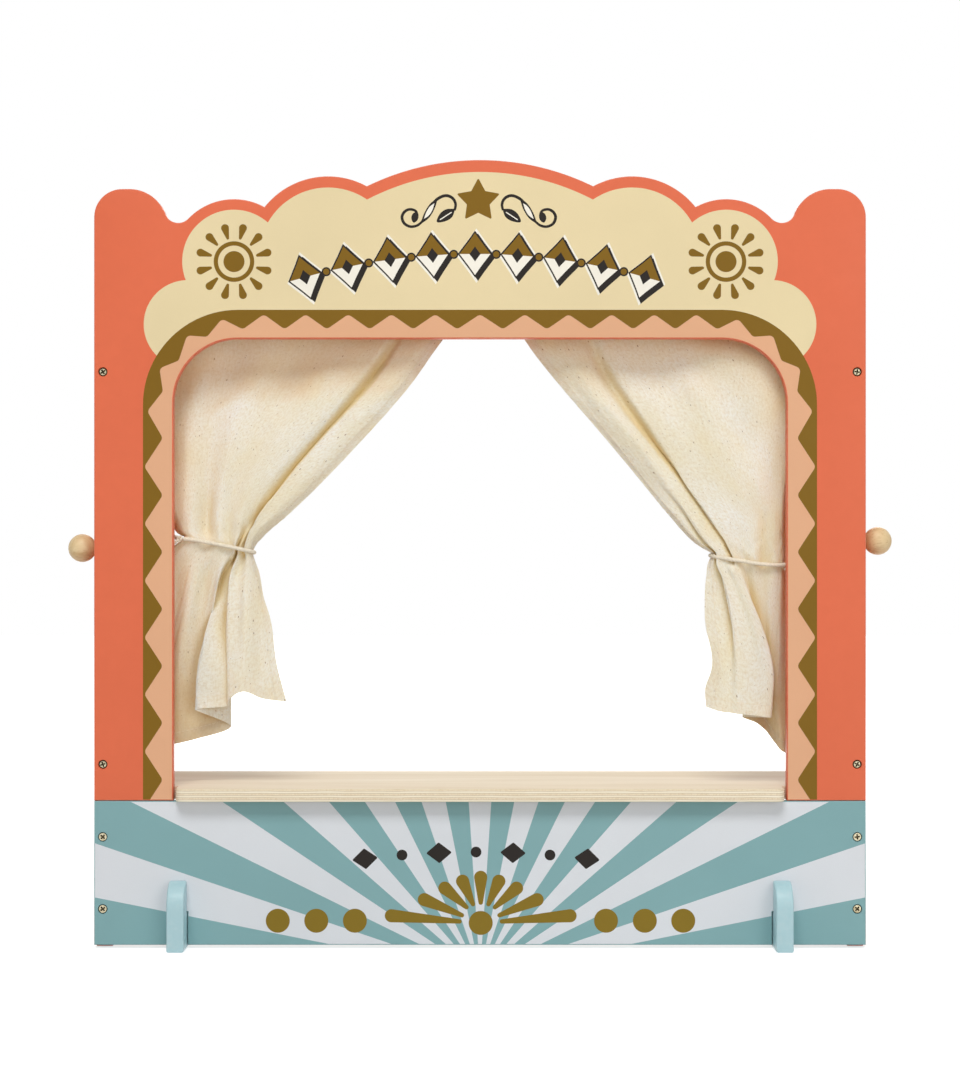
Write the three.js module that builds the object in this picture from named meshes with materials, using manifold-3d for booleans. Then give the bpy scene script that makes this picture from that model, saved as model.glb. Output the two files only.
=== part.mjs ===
// Table-top puppet theatre, in millimetres, +Z up, with its front facing -Y.
// The origin is in the middle of the footprint, on the table.
// A plinth panel and a proscenium panel are screwed to the front edges of two side boards.
// A stage shelf lies on the plinth, a rod carries two tied-back curtains, and two slotted feet
// push onto the plinth from below.

import * as THREE from "three";
import * as BufferGeometryUtils from "three/addons/utils/BufferGeometryUtils.js";
import Module from "manifold-3d";

const wasm = await Module();
wasm.setup();

// Fits
const seatGap = 0.3; // between two pieces that touch
const slotPlay = 0.5; // each side of a board in a slot
const cutOverrun = 2; // how far a cut runs past a face that it opens

// Panels
const panelWidth = 600;
const panelThickness = 10;
const edgeRound = 1; // arris of the panels' edges
const plinthLift = 2.4; // lower edge of the plinth above the table
const plinthHeight = 112;
const legWidth = 61.4; // beside the opening
const openingHeight = 359.1;
const openingRadius = 50;
const headerHeight = 138.8; // from the opening to the crest

// The header's outline is a row of lobes. Each one's place across, its centre's drop below the crest
// and its radius are shares of half the panel's width.
const cornerShares = { across: 0.9275, drop: 0.1476, radius: 0.0725 };
const earShares = { across: 0.908, drop: 0.173, radius: 0.0979 };
const outerLobeShares = { across: 0.6378, drop: 0.265, radius: 0.1637 };
const innerLobeShares = { across: 0.3938, drop: 0.2526, radius: 0.2104 };
const crestShares = { across: 0, drop: 0.6684, radius: 0.6684 };
const valleyRadiusShare = 0.0363;

// Side boards
const boardThickness = 13.5;
const boardDepth = 120;
const boardRise = 29.2; // above the opening
const boardRadius = 20; // upper rear corner

// Stage shelf
const shelfThickness = 10;
const shelfNose = 10; // in front of the panels
const shelfNoseRadius = 6;
const shelfPlay = 2.8; // beside the nose, in the opening

// Curtain rod
const rodDiameter = 12;
const rodRise = 16.2; // above the opening
const rodSetback = 17; // behind the panels
const rodSocketDepth = 7;

// Pegs: a ball, a neck, a shank through the board and a groove inside for the cord
const ballDiameter = 22;
const neckLength = 2.7;
const neckDiameter = 9;
const shankDiameter = 10;
const pegReach = 14; // inside the board
const grooveDepth = 0.8;
const grooveWidth = 8.4;
const grooveInset = 2; // from the peg's end
const pegHeightShares = { left: 0.5097, right: 0.525 }; // of the way from the shelf up to the rod

// Feet
const footThickness = 13.5;
const footReach = 20; // in front of the panel, and behind it
const footHeight = 52.5;
const footSlotFloor = 27.7; // above the table
const footRadius = 20;
const footRound = 1.6;
const footInset = 65.5; // from the panels' ends to a foot's middle

// Countersunk screws
const screwHeadDiameter = 6.8;
const screwHeadHeight = 2.2;
const screwRim = 0.3;
const screwDiameter = 3.5;
const screwLength = 28;
const screwTip = 4;
const recessWidth = 3.8;
const recessSlot = 0.9;
const recessDepth = 1.5;
const screwInset = 28; // from the ends of a panel
const upperScrewInset = 55.1; // below the side boards' top
const shelfScrewShares = [0.25, 0.75]; // of the side boards' depth

// Curtains: a pocket round the rod and a sheet that is drawn in at its waist
const clothThickness = 2;
const pocketPlay = 0.6;
const pocketOverhang = 1; // past the sheet's edges
const sideClearance = 2; // from the side boards
const foldDepth = 7; // from the middle to the crest of a fold
const foldDepthShares = [0.25, 0.75, 1, 1.2, 1.25];
const edgeFadeShare = 0.6; // of a fold's depth, lost at the sheet's edges
const halfFoldCount = 7;
const foldDriftShare = 0.0557; // of a whole fold, wandered on the way down
const clothColumns = 36;
const clothRows = 13;
// Edge points run from the pocket to the hem. Each is a share of the half span between the side boards,
// and a share of the way from the shelf up to the rod.
const curtainShares = {
  left: {
    outer: [[0.993, 0.979], [0.935, 0.754], [0.824, 0.524], [0.914, 0.316], [0.974, 0.083]],
    inner: [[0.094, 0.979], [0.338, 0.745], [0.59, 0.498], [0.556, 0.347], [0.524, 0.182]],
    hemLift: [0, 0.003, 0.004, 0.03, 0.042, 0],
  },
  right: {
    outer: [[0.993, 0.979], [0.94, 0.754], [0.855, 0.475], [0.935, 0.29], [0.98, 0.064]],
    inner: [[0.122, 0.979], [0.372, 0.74], [0.619, 0.495], [0.63, 0.33], [0.622, 0.17]],
    hemLift: [0, -0.01, -0.012, 0.02, 0.03, 0],
  },
};

// Tieback cords: each goes round its curtain's waist and round the groove of its peg, and its ends
// meet in a knot between the two. Depths are measured from the rod's axis.
const cordDiameter = 2.6;
const cordSides = 8;
const cordSteps = 78;
const knotRadius = 4;
const tiebacks = {
  left: {
    knot: [-238.2, -11.8, 317.8],
    route: [
      [-234.6, -11.1, 317.8], [-226, -11.1, 317.2], [-213, -11.1, 315.2], [-199, -11, 312.2],
      [-186, -10.7, 309.2], [-175, -9.3, 307.2], [-167.4, -5.7, 306.4], [-164.4, 0, 306.3],
      [-167.4, 5.7, 306.6], [-175, 9.7, 307.4], [-187, 10.9, 309], [-200, 11.2, 311.2],
      [-213, 11.1, 313.3], [-225, 10.4, 315], [-234.6, 8.4, 316.3], [-240.6, 3.3, 317.2],
      [-241.6, -3.7, 318.2], [-241, -8.9, 319.8], [-246.4, -11.1, 321], [-256, -9.5, 320.4],
      [-266, -6.9, 319], [-272.4, -4.5, 318], [-276.6, -1.6, 316.8], [-277.3, 3.1, 316.2],
      [-278, 5.9, 312.5], [-278.7, 5.3, 307.9], [-279.3, 1.5, 305], [-279.8, -3.1, 305.6],
      [-278.4, -6.3, 308], [-270, -9.7, 309.6], [-260, -11.9, 311.4], [-250, -13.4, 313.4],
      [-242.6, -14.5, 315.6], [-239, -14.4, 316.8],
    ],
  },
  right: {
    knot: [246.2, -11.8, 299.4],
    route: [
      [241.8, -11.1, 298], [232, -11.1, 297.6], [219, -11.1, 298.6], [206, -11, 300.6],
      [194, -10.7, 302.8], [183, -9.4, 304.7], [175.4, -5.8, 305.6], [172.4, 0, 305.8],
      [175.4, 5.8, 305.4], [183, 9.6, 304.4], [195, 10.9, 302.8], [208, 11.2, 301],
      [221, 11.1, 299.6], [233, 10.4, 298.8], [242.8, 8.4, 298.6], [249, 3.3, 299],
      [250, -3.7, 300], [249.8, -9.1, 301.8], [253.4, -11.1, 305.4], [259.6, -9.7, 311],
      [266.6, -7.1, 317.8], [272.4, -4.7, 322], [276.6, -1.6, 322.4], [277.3, 3.1, 321.8],
      [278, 5.9, 318.1], [278.7, 5.3, 313.5], [279.3, 1.5, 310.6], [279.8, -3.1, 311.2],
      [278.4, -6.3, 313.2], [270.4, -9.7, 311], [262, -12.1, 306.8], [254, -13.9, 302.6],
      [249.4, -14.5, 299.8], [246, -14.4, 298.4],
    ],
  },
};

// Roundness
const arcSegments = 7;
const turnSegments = 16;
const ballSteps = 10;
const screwSegments = 12;
const knotSegments = 8;

// Heights and depths that follow from the sizes
const halfWidth = panelWidth / 2;
const openingHalf = halfWidth - legWidth;
const footAcross = halfWidth - footInset;
const overallDepth = footReach + panelThickness + boardDepth;
const frontY = footReach - overallDepth / 2;
const panelBackY = frontY + panelThickness;
const boardBackY = panelBackY + boardDepth;
const plinthTop = plinthLift + plinthHeight;
const stageBase = plinthTop + seatGap;
const openingTop = stageBase + openingHeight;
const crest = openingTop + headerHeight;
const boardTop = openingTop + boardRise;
const shelfTop = stageBase + shelfThickness;
const rodY = panelBackY + rodSetback;
const rodZ = openingTop + rodRise;
const halfSpan = halfWidth - boardThickness;
const hangHeight = rodZ - shelfTop;
const pegZ = {
  left: shelfTop + pegHeightShares.left * hangHeight,
  right: shelfTop + pegHeightShares.right * hangHeight,
};

// Colours and finishes
const finishes = {
  orangePaint: { color: 0xe17150, roughness: 0.5, metalness: 0 },
  tealPaint: { color: 0x80a7ab, roughness: 0.5, metalness: 0 },
  bluePaint: { color: 0xafcad2, roughness: 0.5, metalness: 0 },
  plywood: { color: 0xe6dac0, roughness: 0.65, metalness: 0 },
  turnedWood: { color: 0xdcc090, roughness: 0.55, metalness: 0 },
  calico: { color: 0xe2d4b9, roughness: 0.95, metalness: 0 },
  cotton: { color: 0xe8dcc4, roughness: 0.95, metalness: 0 },
  zinc: { color: 0xb9b09a, roughness: 0.35, metalness: 0.9 },
};

// Where a flat outline's own x, y and depth go
const xAxis = new THREE.Vector3(1, 0, 0);
const yAxis = new THREE.Vector3(0, 1, 0);
const zAxis = new THREE.Vector3(0, 0, 1);
const frontPlane = new THREE.Matrix4().makeBasis(xAxis, zAxis, yAxis.clone().negate());
const sidePlane = new THREE.Matrix4().makeBasis(yAxis, zAxis, xAxis);

const theatre = new THREE.Group();

function addPiece(name, geometry, finish) {
  const mesh = new THREE.Mesh(geometry, new THREE.MeshStandardMaterial(finishes[finish]));
  mesh.name = name;
  theatre.add(mesh);
  return mesh;
}

// Joins and cuts

function solidOf(geometry) {
  const bare = geometry.clone();
  bare.deleteAttribute("normal");
  bare.deleteAttribute("uv");
  const merged = BufferGeometryUtils.mergeVertices(bare);
  const vertProperties = new Float32Array(merged.attributes.position.array);
  const triVerts = new Uint32Array(merged.index.array);
  return new wasm.Manifold(new wasm.Mesh({ numProp: 3, vertProperties, triVerts }));
}

function geometryOf(solid) {
  const { vertProperties, triVerts } = solid.getMesh();
  const geometry = new THREE.BufferGeometry();
  geometry.setAttribute("position", new THREE.BufferAttribute(vertProperties, 3));
  geometry.setIndex(new THREE.BufferAttribute(triVerts, 1));
  geometry.computeVertexNormals();
  return geometry;
}

function cut(geometry, tools) {
  return geometryOf(tools.reduce((left, tool) => left.subtract(solidOf(tool)), solidOf(geometry)));
}

function join(geometry, others) {
  return geometryOf(others.reduce((whole, other) => whole.add(solidOf(other)), solidOf(geometry)));
}

// A flat outline with thickness, its edges rounded over by an arris
function board(shape, thickness, arris) {
  const geometry = new THREE.ExtrudeGeometry(shape, {
    depth: thickness - 2 * arris,
    curveSegments: arcSegments,
    bevelEnabled: arris > 0,
    bevelThickness: arris,
    bevelSize: arris,
    bevelOffset: -arris,
    bevelSegments: 1,
  });
  return geometry.translate(0, 0, arris);
}

// A turned piece along +X: its profile is pairs of a place along and a radius
function turned(profile, segments) {
  const points = profile.map(([along, radius]) => new THREE.Vector2(radius, along));
  return new THREE.LatheGeometry(points, segments).rotateZ(-Math.PI / 2);
}

function rod(diameter, from, to, segments = turnSegments) {
  return turned([[from, 0], [from, diameter / 2], [to, diameter / 2], [to, 0]], segments);
}

// Screws point along +X from the middle of their head

function screwProfile(play) {
  const head = screwHeadDiameter / 2 + play;
  const shank = screwDiameter / 2 + play;
  return [
    [0, 0],
    [0, head],
    [screwRim, head],
    [screwHeadHeight, shank],
    [screwLength - screwTip, shank],
    [screwLength + play, 0],
  ];
}

function screwGeometry() {
  const recess = [[recessWidth, recessSlot], [recessSlot, recessWidth]].map(([wide, high]) =>
    new THREE.BoxGeometry(2 * recessDepth, wide, high));
  return cut(turned(screwProfile(0), screwSegments), recess);
}

function screwHole() {
  const mouth = rod(screwHeadDiameter + 2 * seatGap, -cutOverrun, screwRim, screwSegments);
  return join(turned(screwProfile(seatGap), screwSegments), [mouth]);
}

// Screw places: the panels' screws go in along +Y, the shelf's along X from the boards' outer faces

function panelScrews(side, heights) {
  const across = side * (halfWidth - boardThickness / 2);
  return heights.map((height) =>
    new THREE.Matrix4().makeRotationZ(Math.PI / 2).setPosition(across, frontY, height));
}

function shelfScrews(side) {
  const height = (stageBase + shelfTop) / 2;
  return shelfScrewShares.map((share) =>
    new THREE.Matrix4().makeRotationZ(side > 0 ? Math.PI : 0)
      .setPosition(side * halfWidth, panelBackY + share * boardDepth, height));
}

const sides = [{ name: "left", sign: -1 }, { name: "right", sign: 1 }];
const stageScrewHeights = [boardTop - upperScrewInset, stageBase + screwInset];
const plinthScrewHeights = [plinthTop - screwInset, plinthLift + screwInset];

function holesAt(places) {
  return places.map((place) => screwHole().applyMatrix4(place));
}

function screwPlaces(pick) {
  return sides.flatMap(({ sign }) => pick(sign));
}

// Header outline

function lobe(shares, side) {
  return {
    x: side * shares.across * halfWidth,
    y: crest - shares.drop * halfWidth,
    radius: shares.radius * halfWidth,
  };
}

function grown(circle, by) {
  return { ...circle, radius: circle.radius + by };
}

// The upper of the two points where circles cross
function crossing(a, b) {
  const apart = Math.hypot(b.x - a.x, b.y - a.y);
  const along = (apart ** 2 + a.radius ** 2 - b.radius ** 2) / (2 * apart);
  const off = Math.sqrt(a.radius ** 2 - along ** 2);
  const ux = (b.x - a.x) / apart;
  const uy = (b.y - a.y) / apart;
  const turn = ux > 0 ? 1 : -1;
  return { x: a.x + along * ux - turn * off * uy, y: a.y + along * uy + turn * off * ux };
}

function bearing(circle, point) {
  return Math.atan2(point.y - circle.y, point.x - circle.x);
}

// The arcs from the left edge up to the crest, each as its circle, its two bearings and its sense
function leftArcs() {
  const corner = lobe(cornerShares, -1);
  const ear = lobe(earShares, -1);
  const outer = lobe(outerLobeShares, -1);
  const inner = lobe(innerLobeShares, -1);
  const crown = lobe(crestShares, -1);
  const valleyRadius = valleyRadiusShare * halfWidth;
  const valley = { ...crossing(grown(ear, valleyRadius), grown(outer, valleyRadius)), radius: valleyRadius };
  const outerCusp = crossing(outer, inner);
  const innerCusp = crossing(inner, crown);
  return [
    { circle: corner, from: Math.PI, to: Math.PI / 2, clockwise: true },
    { circle: ear, from: Math.PI / 2, to: bearing(ear, valley), clockwise: true },
    { circle: valley, from: bearing(valley, ear) - 2 * Math.PI, to: bearing(valley, outer), clockwise: false },
    { circle: outer, from: bearing(outer, valley), to: bearing(outer, outerCusp), clockwise: true },
    { circle: inner, from: bearing(inner, outerCusp), to: bearing(inner, innerCusp), clockwise: true },
    { circle: crown, from: bearing(crown, innerCusp), to: Math.PI / 2, clockwise: true },
  ];
}

function mirroredArcs(arcs) {
  return arcs.toReversed().map(({ circle, from, to, clockwise }) => ({
    circle: { ...circle, x: -circle.x },
    from: Math.PI - to,
    to: Math.PI - from,
    clockwise,
  }));
}

function prosceniumGeometry() {
  const shape = new THREE.Shape();
  shape.moveTo(-openingHalf, stageBase);
  shape.lineTo(-halfWidth, stageBase);
  const arcs = leftArcs();
  for (const { circle, from, to, clockwise } of [...arcs, ...mirroredArcs(arcs)]) {
    shape.absarc(circle.x, circle.y, circle.radius, from, to, clockwise);
  }
  shape.lineTo(halfWidth, stageBase);
  shape.lineTo(openingHalf, stageBase);
  const arcX = openingHalf - openingRadius;
  const arcZ = openingTop - openingRadius;
  shape.absarc(arcX, arcZ, openingRadius, 0, Math.PI / 2, false);
  shape.absarc(-arcX, arcZ, openingRadius, Math.PI / 2, Math.PI, false);
  const panel = board(shape, panelThickness, edgeRound).applyMatrix4(frontPlane).translate(0, panelBackY, 0);
  return cut(panel, holesAt(screwPlaces((side) => panelScrews(side, stageScrewHeights))));
}

function plinthGeometry() {
  const notch = footThickness / 2 + slotPlay;
  const notchTop = footSlotFloor + seatGap;
  const shape = new THREE.Shape();
  shape.moveTo(-halfWidth, plinthLift);
  shape.lineTo(-halfWidth, plinthTop);
  shape.lineTo(halfWidth, plinthTop);
  shape.lineTo(halfWidth, plinthLift);
  for (const middle of [footAcross, -footAcross]) {
    shape.lineTo(middle + notch, plinthLift);
    shape.lineTo(middle + notch, notchTop);
    shape.lineTo(middle - notch, notchTop);
    shape.lineTo(middle - notch, plinthLift);
  }
  const panel = board(shape, panelThickness, edgeRound).applyMatrix4(frontPlane).translate(0, panelBackY, 0);
  return cut(panel, holesAt(screwPlaces((side) => panelScrews(side, plinthScrewHeights))));
}

function sideBoardGeometry(side, name) {
  const shape = new THREE.Shape();
  const front = panelBackY + seatGap;
  shape.moveTo(front, 0);
  shape.lineTo(boardBackY, 0);
  shape.absarc(boardBackY - boardRadius, boardTop - boardRadius, boardRadius, 0, Math.PI / 2, false);
  shape.lineTo(front, boardTop);
  const blank = board(shape, boardThickness, edgeRound).applyMatrix4(sidePlane);
  blank.translate(side < 0 ? -halfWidth : halfSpan, 0, 0);
  const socket = rod(rodDiameter + 2 * seatGap, halfSpan - cutOverrun, halfSpan + rodSocketDepth + seatGap);
  const pegHole = rod(shankDiameter + 2 * seatGap, halfSpan - cutOverrun, halfWidth + cutOverrun);
  for (const tool of [socket, pegHole]) {
    tool.rotateZ(side < 0 ? Math.PI : 0);
  }
  socket.translate(0, rodY, rodZ);
  pegHole.translate(0, rodY, pegZ[name]);
  const screwed = [...panelScrews(side, [...stageScrewHeights, ...plinthScrewHeights]), ...shelfScrews(side)];
  return cut(blank, [socket, pegHole, ...holesAt(screwed)]);
}

function shelfGeometry() {
  const nose = openingHalf - shelfPlay;
  const wide = halfSpan - seatGap;
  const noseY = frontY - shelfNose;
  const shoulderY = panelBackY + seatGap;
  const shape = new THREE.Shape();
  shape.moveTo(-wide, boardBackY);
  shape.lineTo(-wide, shoulderY);
  shape.lineTo(-nose, shoulderY);
  shape.absarc(shelfNoseRadius - nose, noseY + shelfNoseRadius, shelfNoseRadius, Math.PI, 1.5 * Math.PI, false);
  shape.absarc(nose - shelfNoseRadius, noseY + shelfNoseRadius, shelfNoseRadius, -Math.PI / 2, 0, false);
  shape.lineTo(nose, shoulderY);
  shape.lineTo(wide, shoulderY);
  shape.lineTo(wide, boardBackY);
  const shelf = board(shape, shelfThickness, edgeRound / 2).translate(0, 0, stageBase);
  return cut(shelf, holesAt(screwPlaces(shelfScrews)));
}

function curtainRodGeometry() {
  const half = halfSpan + rodSocketDepth;
  return rod(rodDiameter, -half, half).translate(0, rodY, rodZ);
}

// A peg lies along X: the ball is outside its board and the groove inside
function pegGeometry(side, name) {
  const ball = ballDiameter / 2;
  const neck = neckDiameter / 2;
  const shank = shankDiameter / 2;
  const groove = shank - grooveDepth;
  const end = halfSpan - pegReach;
  const grooveStart = end + grooveInset;
  const grooveEnd = grooveStart + grooveWidth;
  const ballMiddle = halfWidth + neckLength + ball;
  const ballStart = Math.PI - Math.asin(neck / ball);
  const ballArc = Array.from({ length: ballSteps + 1 }, (_, step) => {
    const angle = ballStart * (1 - step / ballSteps);
    return [ballMiddle + ball * Math.cos(angle), step < ballSteps ? ball * Math.sin(angle) : 0];
  });
  const profile = [
    [end, 0],
    [end, shank - grooveDepth],
    [end + grooveDepth, shank],
    [grooveStart, shank],
    [grooveStart + grooveDepth, groove],
    [grooveEnd - grooveDepth, groove],
    [grooveEnd, shank],
    [halfWidth, shank],
    [halfWidth, neck],
    ...ballArc,
  ];
  return turned(profile, turnSegments).rotateZ(side < 0 ? Math.PI : 0).translate(0, rodY, pegZ[name]);
}

// A foot is slotted from its top, where the plinth sits in it
function footGeometry(side) {
  const front = frontY - footReach;
  const back = panelBackY + footReach;
  const slotFront = frontY - seatGap;
  const slotBack = panelBackY + seatGap;
  const shape = new THREE.Shape();
  shape.moveTo(back, 0);
  shape.lineTo(front, 0);
  shape.absarc(front + footRadius, footHeight - footRadius, footRadius, Math.PI, Math.PI / 2, true);
  shape.absarc(back - footRadius, footHeight - footRadius, footRadius, Math.PI / 2, 0, true);
  const blank = board(shape, footThickness, footRound).applyMatrix4(sidePlane);
  blank.translate(side * footAcross - footThickness / 2, 0, 0);
  const slotTop = footHeight + cutOverrun;
  const slot = new THREE.BoxGeometry(footThickness + cutOverrun, slotBack - slotFront, slotTop - footSlotFloor);
  slot.translate(side * footAcross, (slotFront + slotBack) / 2, (slotTop + footSlotFloor) / 2);
  return cut(blank, [slot]);
}

// Curtains

function smoothLine(points) {
  return new THREE.SplineCurve(points.map(([a, b]) => new THREE.Vector2(a, b)));
}

function valueAlong(values, share) {
  return smoothLine(values.map((value, step) => [step / (values.length - 1), value])).getPoint(share).y;
}

// A point of the curtain's middle surface, across from its outer edge and down from its pocket
function clothPoint(side, shares, across, down) {
  const outer = smoothLine(shares.outer).getPoint(down);
  const inner = smoothLine(shares.inner).getPoint(down);
  const spread = THREE.MathUtils.lerp(outer.x, inner.x, across);
  const lift = valueAlong(shares.hemLift, across) * THREE.MathUtils.smoothstep(down, 0.5, 1);
  const height = THREE.MathUtils.lerp(outer.y, inner.y, across) + lift;
  const fade = 1 - edgeFadeShare * (2 * across - 1) ** 4;
  const fold = foldDepth * valueAlong(foldDepthShares, down) * fade;
  const drift = foldDriftShare * Math.sin(2 * Math.PI * down);
  const phase = Math.PI * (halfFoldCount * across + 2 * drift);
  return new THREE.Vector3(
    side * spread * halfSpan,
    rodY + fold * Math.sin(phase),
    shelfTop + height * hangHeight,
  );
}

function clothNormal(side, shares, across, down) {
  const step = 0.002;
  const [left, right] = [Math.max(across - step, 0), Math.min(across + step, 1)];
  const [above, below] = [Math.max(down - step, 0), Math.min(down + step, 1)];
  const along = clothPoint(side, shares, right, down).sub(clothPoint(side, shares, left, down));
  const drop = clothPoint(side, shares, across, below).sub(clothPoint(side, shares, across, above));
  return along.cross(drop).normalize().multiplyScalar(-side);
}

// The sheet is a grid of points in front of the middle surface and one behind it, closed by its rim
function sheetGeometry(side, shares) {
  const points = [];
  const faces = [];
  for (const layer of [-1, 1]) {
    for (let row = 0; row <= clothRows; row += 1) {
      for (let column = 0; column <= clothColumns; column += 1) {
        const across = column / clothColumns;
        const down = row / clothRows;
        const normal = clothNormal(side, shares, across, down);
        const point = clothPoint(side, shares, across, down);
        points.push(...point.addScaledVector(normal, layer * clothThickness / 2).toArray());
      }
    }
  }
  const columns = clothColumns + 1;
  const perLayer = columns * (clothRows + 1);
  const quad = (a, b, c, d, flip) => faces.push(...(flip ? [a, c, b, a, d, c] : [a, b, c, a, c, d]));
  for (let row = 0; row < clothRows; row += 1) {
    for (let column = 0; column < clothColumns; column += 1) {
      const near = row * columns + column;
      const far = near + perLayer;
      quad(near, near + 1, near + columns + 1, near + columns, side < 0);
      quad(far, far + 1, far + columns + 1, far + columns, side > 0);
    }
  }
  const rim = [];
  for (let column = 0; column < clothColumns; column += 1) rim.push([column, column + 1]);
  for (let row = 0; row < clothRows; row += 1) {
    rim.push([row * columns + clothColumns, (row + 1) * columns + clothColumns]);
  }
  for (let column = clothColumns; column > 0; column -= 1) {
    rim.push([clothRows * columns + column, clothRows * columns + column - 1]);
  }
  for (let row = clothRows; row > 0; row -= 1) rim.push([row * columns, (row - 1) * columns]);
  for (const [a, b] of rim) quad(a, a + perLayer, b + perLayer, b, side < 0);
  const geometry = new THREE.BufferGeometry();
  geometry.setAttribute("position", new THREE.Float32BufferAttribute(points, 3));
  geometry.setIndex(faces);
  return geometry;
}

function curtainGeometry(side, name) {
  const shares = curtainShares[name];
  const bore = rodDiameter + 2 * pocketPlay;
  const from = shares.inner[0][0] * halfSpan - pocketOverhang;
  const to = halfSpan - sideClearance + pocketOverhang;
  const pocket = cut(rod(bore + 2 * clothThickness, from, to), [rod(bore, from - cutOverrun, to + cutOverrun)]);
  pocket.rotateZ(side < 0 ? Math.PI : 0).translate(0, rodY, rodZ);
  return join(sheetGeometry(side, shares), [pocket]);
}

// Tieback cords

function tiebackGeometry({ knot, route }) {
  const path = new THREE.CatmullRomCurve3(route.map((point) => new THREE.Vector3(...point)));
  const section = new THREE.Shape();
  section.absarc(0, 0, cordDiameter / 2, 0, 2 * Math.PI, false);
  const tube = new THREE.ExtrudeGeometry(section, {
    steps: cordSteps,
    curveSegments: cordSides / 2,
    extrudePath: path,
  });
  const ball = new THREE.SphereGeometry(knotRadius, knotSegments, knotSegments).translate(...knot);
  return join(tube, [ball]).translate(0, rodY, 0);
}

// Assembly

addPiece("proscenium_panel", prosceniumGeometry(), "orangePaint");
addPiece("plinth_panel", plinthGeometry(), "tealPaint");
addPiece("stage_shelf", shelfGeometry(), "plywood");
addPiece("curtain_rod", curtainRodGeometry(), "turnedWood");

for (const { name, sign } of sides) {
  addPiece(`side_board_${name}`, sideBoardGeometry(sign, name), "orangePaint");
  addPiece(`foot_${name}`, footGeometry(sign), "bluePaint");
  addPiece(`peg_${name}`, pegGeometry(sign, name), "turnedWood");
  addPiece(`curtain_${name}`, curtainGeometry(sign, name), "calico");
  addPiece(`tieback_${name}`, tiebackGeometry(tiebacks[name]), "cotton");
  const places = {
    stage_screw: panelScrews(sign, stageScrewHeights),
    plinth_screw: panelScrews(sign, plinthScrewHeights),
    shelf_screw: shelfScrews(sign),
  };
  for (const [kind, matrices] of Object.entries(places)) {
    matrices.forEach((matrix, index) => {
      addPiece(`${kind}_${name}_${index + 1}`, screwGeometry().applyMatrix4(matrix), "zinc");
    });
  }
}

export default theatre;
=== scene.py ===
"""Looks of a table-top puppet theatre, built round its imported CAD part. Metres, +Z up, the front faces -Y."""

import math
import random

import bmesh
import bpy
import numpy as np
from mathutils import Matrix, Vector, noise
from mathutils.geometry import delaunay_2d_cdt


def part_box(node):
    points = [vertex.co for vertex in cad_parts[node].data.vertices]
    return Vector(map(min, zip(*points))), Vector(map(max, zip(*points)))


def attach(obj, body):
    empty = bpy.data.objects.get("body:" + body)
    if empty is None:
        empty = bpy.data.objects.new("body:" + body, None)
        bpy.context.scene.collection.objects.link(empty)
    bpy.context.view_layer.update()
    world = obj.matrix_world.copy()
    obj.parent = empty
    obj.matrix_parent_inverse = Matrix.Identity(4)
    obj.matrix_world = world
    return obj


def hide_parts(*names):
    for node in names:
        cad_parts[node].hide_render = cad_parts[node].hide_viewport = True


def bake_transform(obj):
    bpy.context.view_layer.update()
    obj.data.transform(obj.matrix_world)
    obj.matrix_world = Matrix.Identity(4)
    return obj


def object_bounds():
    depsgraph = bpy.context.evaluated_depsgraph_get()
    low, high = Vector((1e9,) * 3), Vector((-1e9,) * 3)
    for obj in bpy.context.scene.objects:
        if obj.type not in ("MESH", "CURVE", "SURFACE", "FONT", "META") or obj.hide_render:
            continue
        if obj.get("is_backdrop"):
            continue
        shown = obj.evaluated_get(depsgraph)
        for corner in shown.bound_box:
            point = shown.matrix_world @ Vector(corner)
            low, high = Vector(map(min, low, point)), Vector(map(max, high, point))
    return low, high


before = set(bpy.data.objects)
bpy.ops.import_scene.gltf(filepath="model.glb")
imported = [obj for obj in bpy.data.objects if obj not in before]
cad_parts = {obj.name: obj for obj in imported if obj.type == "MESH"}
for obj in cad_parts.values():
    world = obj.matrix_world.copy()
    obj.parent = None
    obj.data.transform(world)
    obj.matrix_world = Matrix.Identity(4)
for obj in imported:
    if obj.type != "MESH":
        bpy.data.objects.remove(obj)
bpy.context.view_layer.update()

scene = bpy.context.scene
MM = 0.001
SIDES = {"left": -1, "right": 1}

# ---------------------------------------------------------------- places


def middle(node):
    low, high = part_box(node)
    return (low + high) / 2


PANEL_LOW, PANEL_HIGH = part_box("proscenium_panel")
FRONT_Y, BACK_Y, HALF = PANEL_LOW.y, PANEL_HIGH.y, PANEL_HIGH.x
STAGE_BASE, CREST = PANEL_LOW.z, PANEL_HIGH.z
PLINTH_LOW, PLINTH_TOP = (corner.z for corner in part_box("plinth_panel"))
SHELF_LOW, SHELF_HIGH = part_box("stage_shelf")
ROD = middle("curtain_rod")

PIXEL = 0.0007772            # metres per photo pixel on the front face
CLOTH_PIXEL = 0.7892         # mm per photo pixel at the curtains' depth
MIDDLE_PX, BASE_PX = 480.0, 945.0
PHOTO_HEIGHT, FOCAL_PX = 1091.0, 2251.7
EYE_HEIGHT, EYE_DISTANCE = 312.9, 1.75           # mm above the floor, m from the front face


def pt(col, row):
    """A photo pixel's place on the front face"""
    return (col - MIDDLE_PX) * PIXEL, (BASE_PX - row) * PIXEL + PLINTH_LOW


# ---------------------------------------------------------------- materials


def srgb(*rgb):
    return (*(v / 12.92 if v <= 0.04045 else ((v + 0.055) / 1.055) ** 2.4 for v in (c / 255 for c in rgb)), 1.0)


def tint(colour, k):
    return (*(min(c * k, 1) for c in colour[:3]), 1.0)


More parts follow.
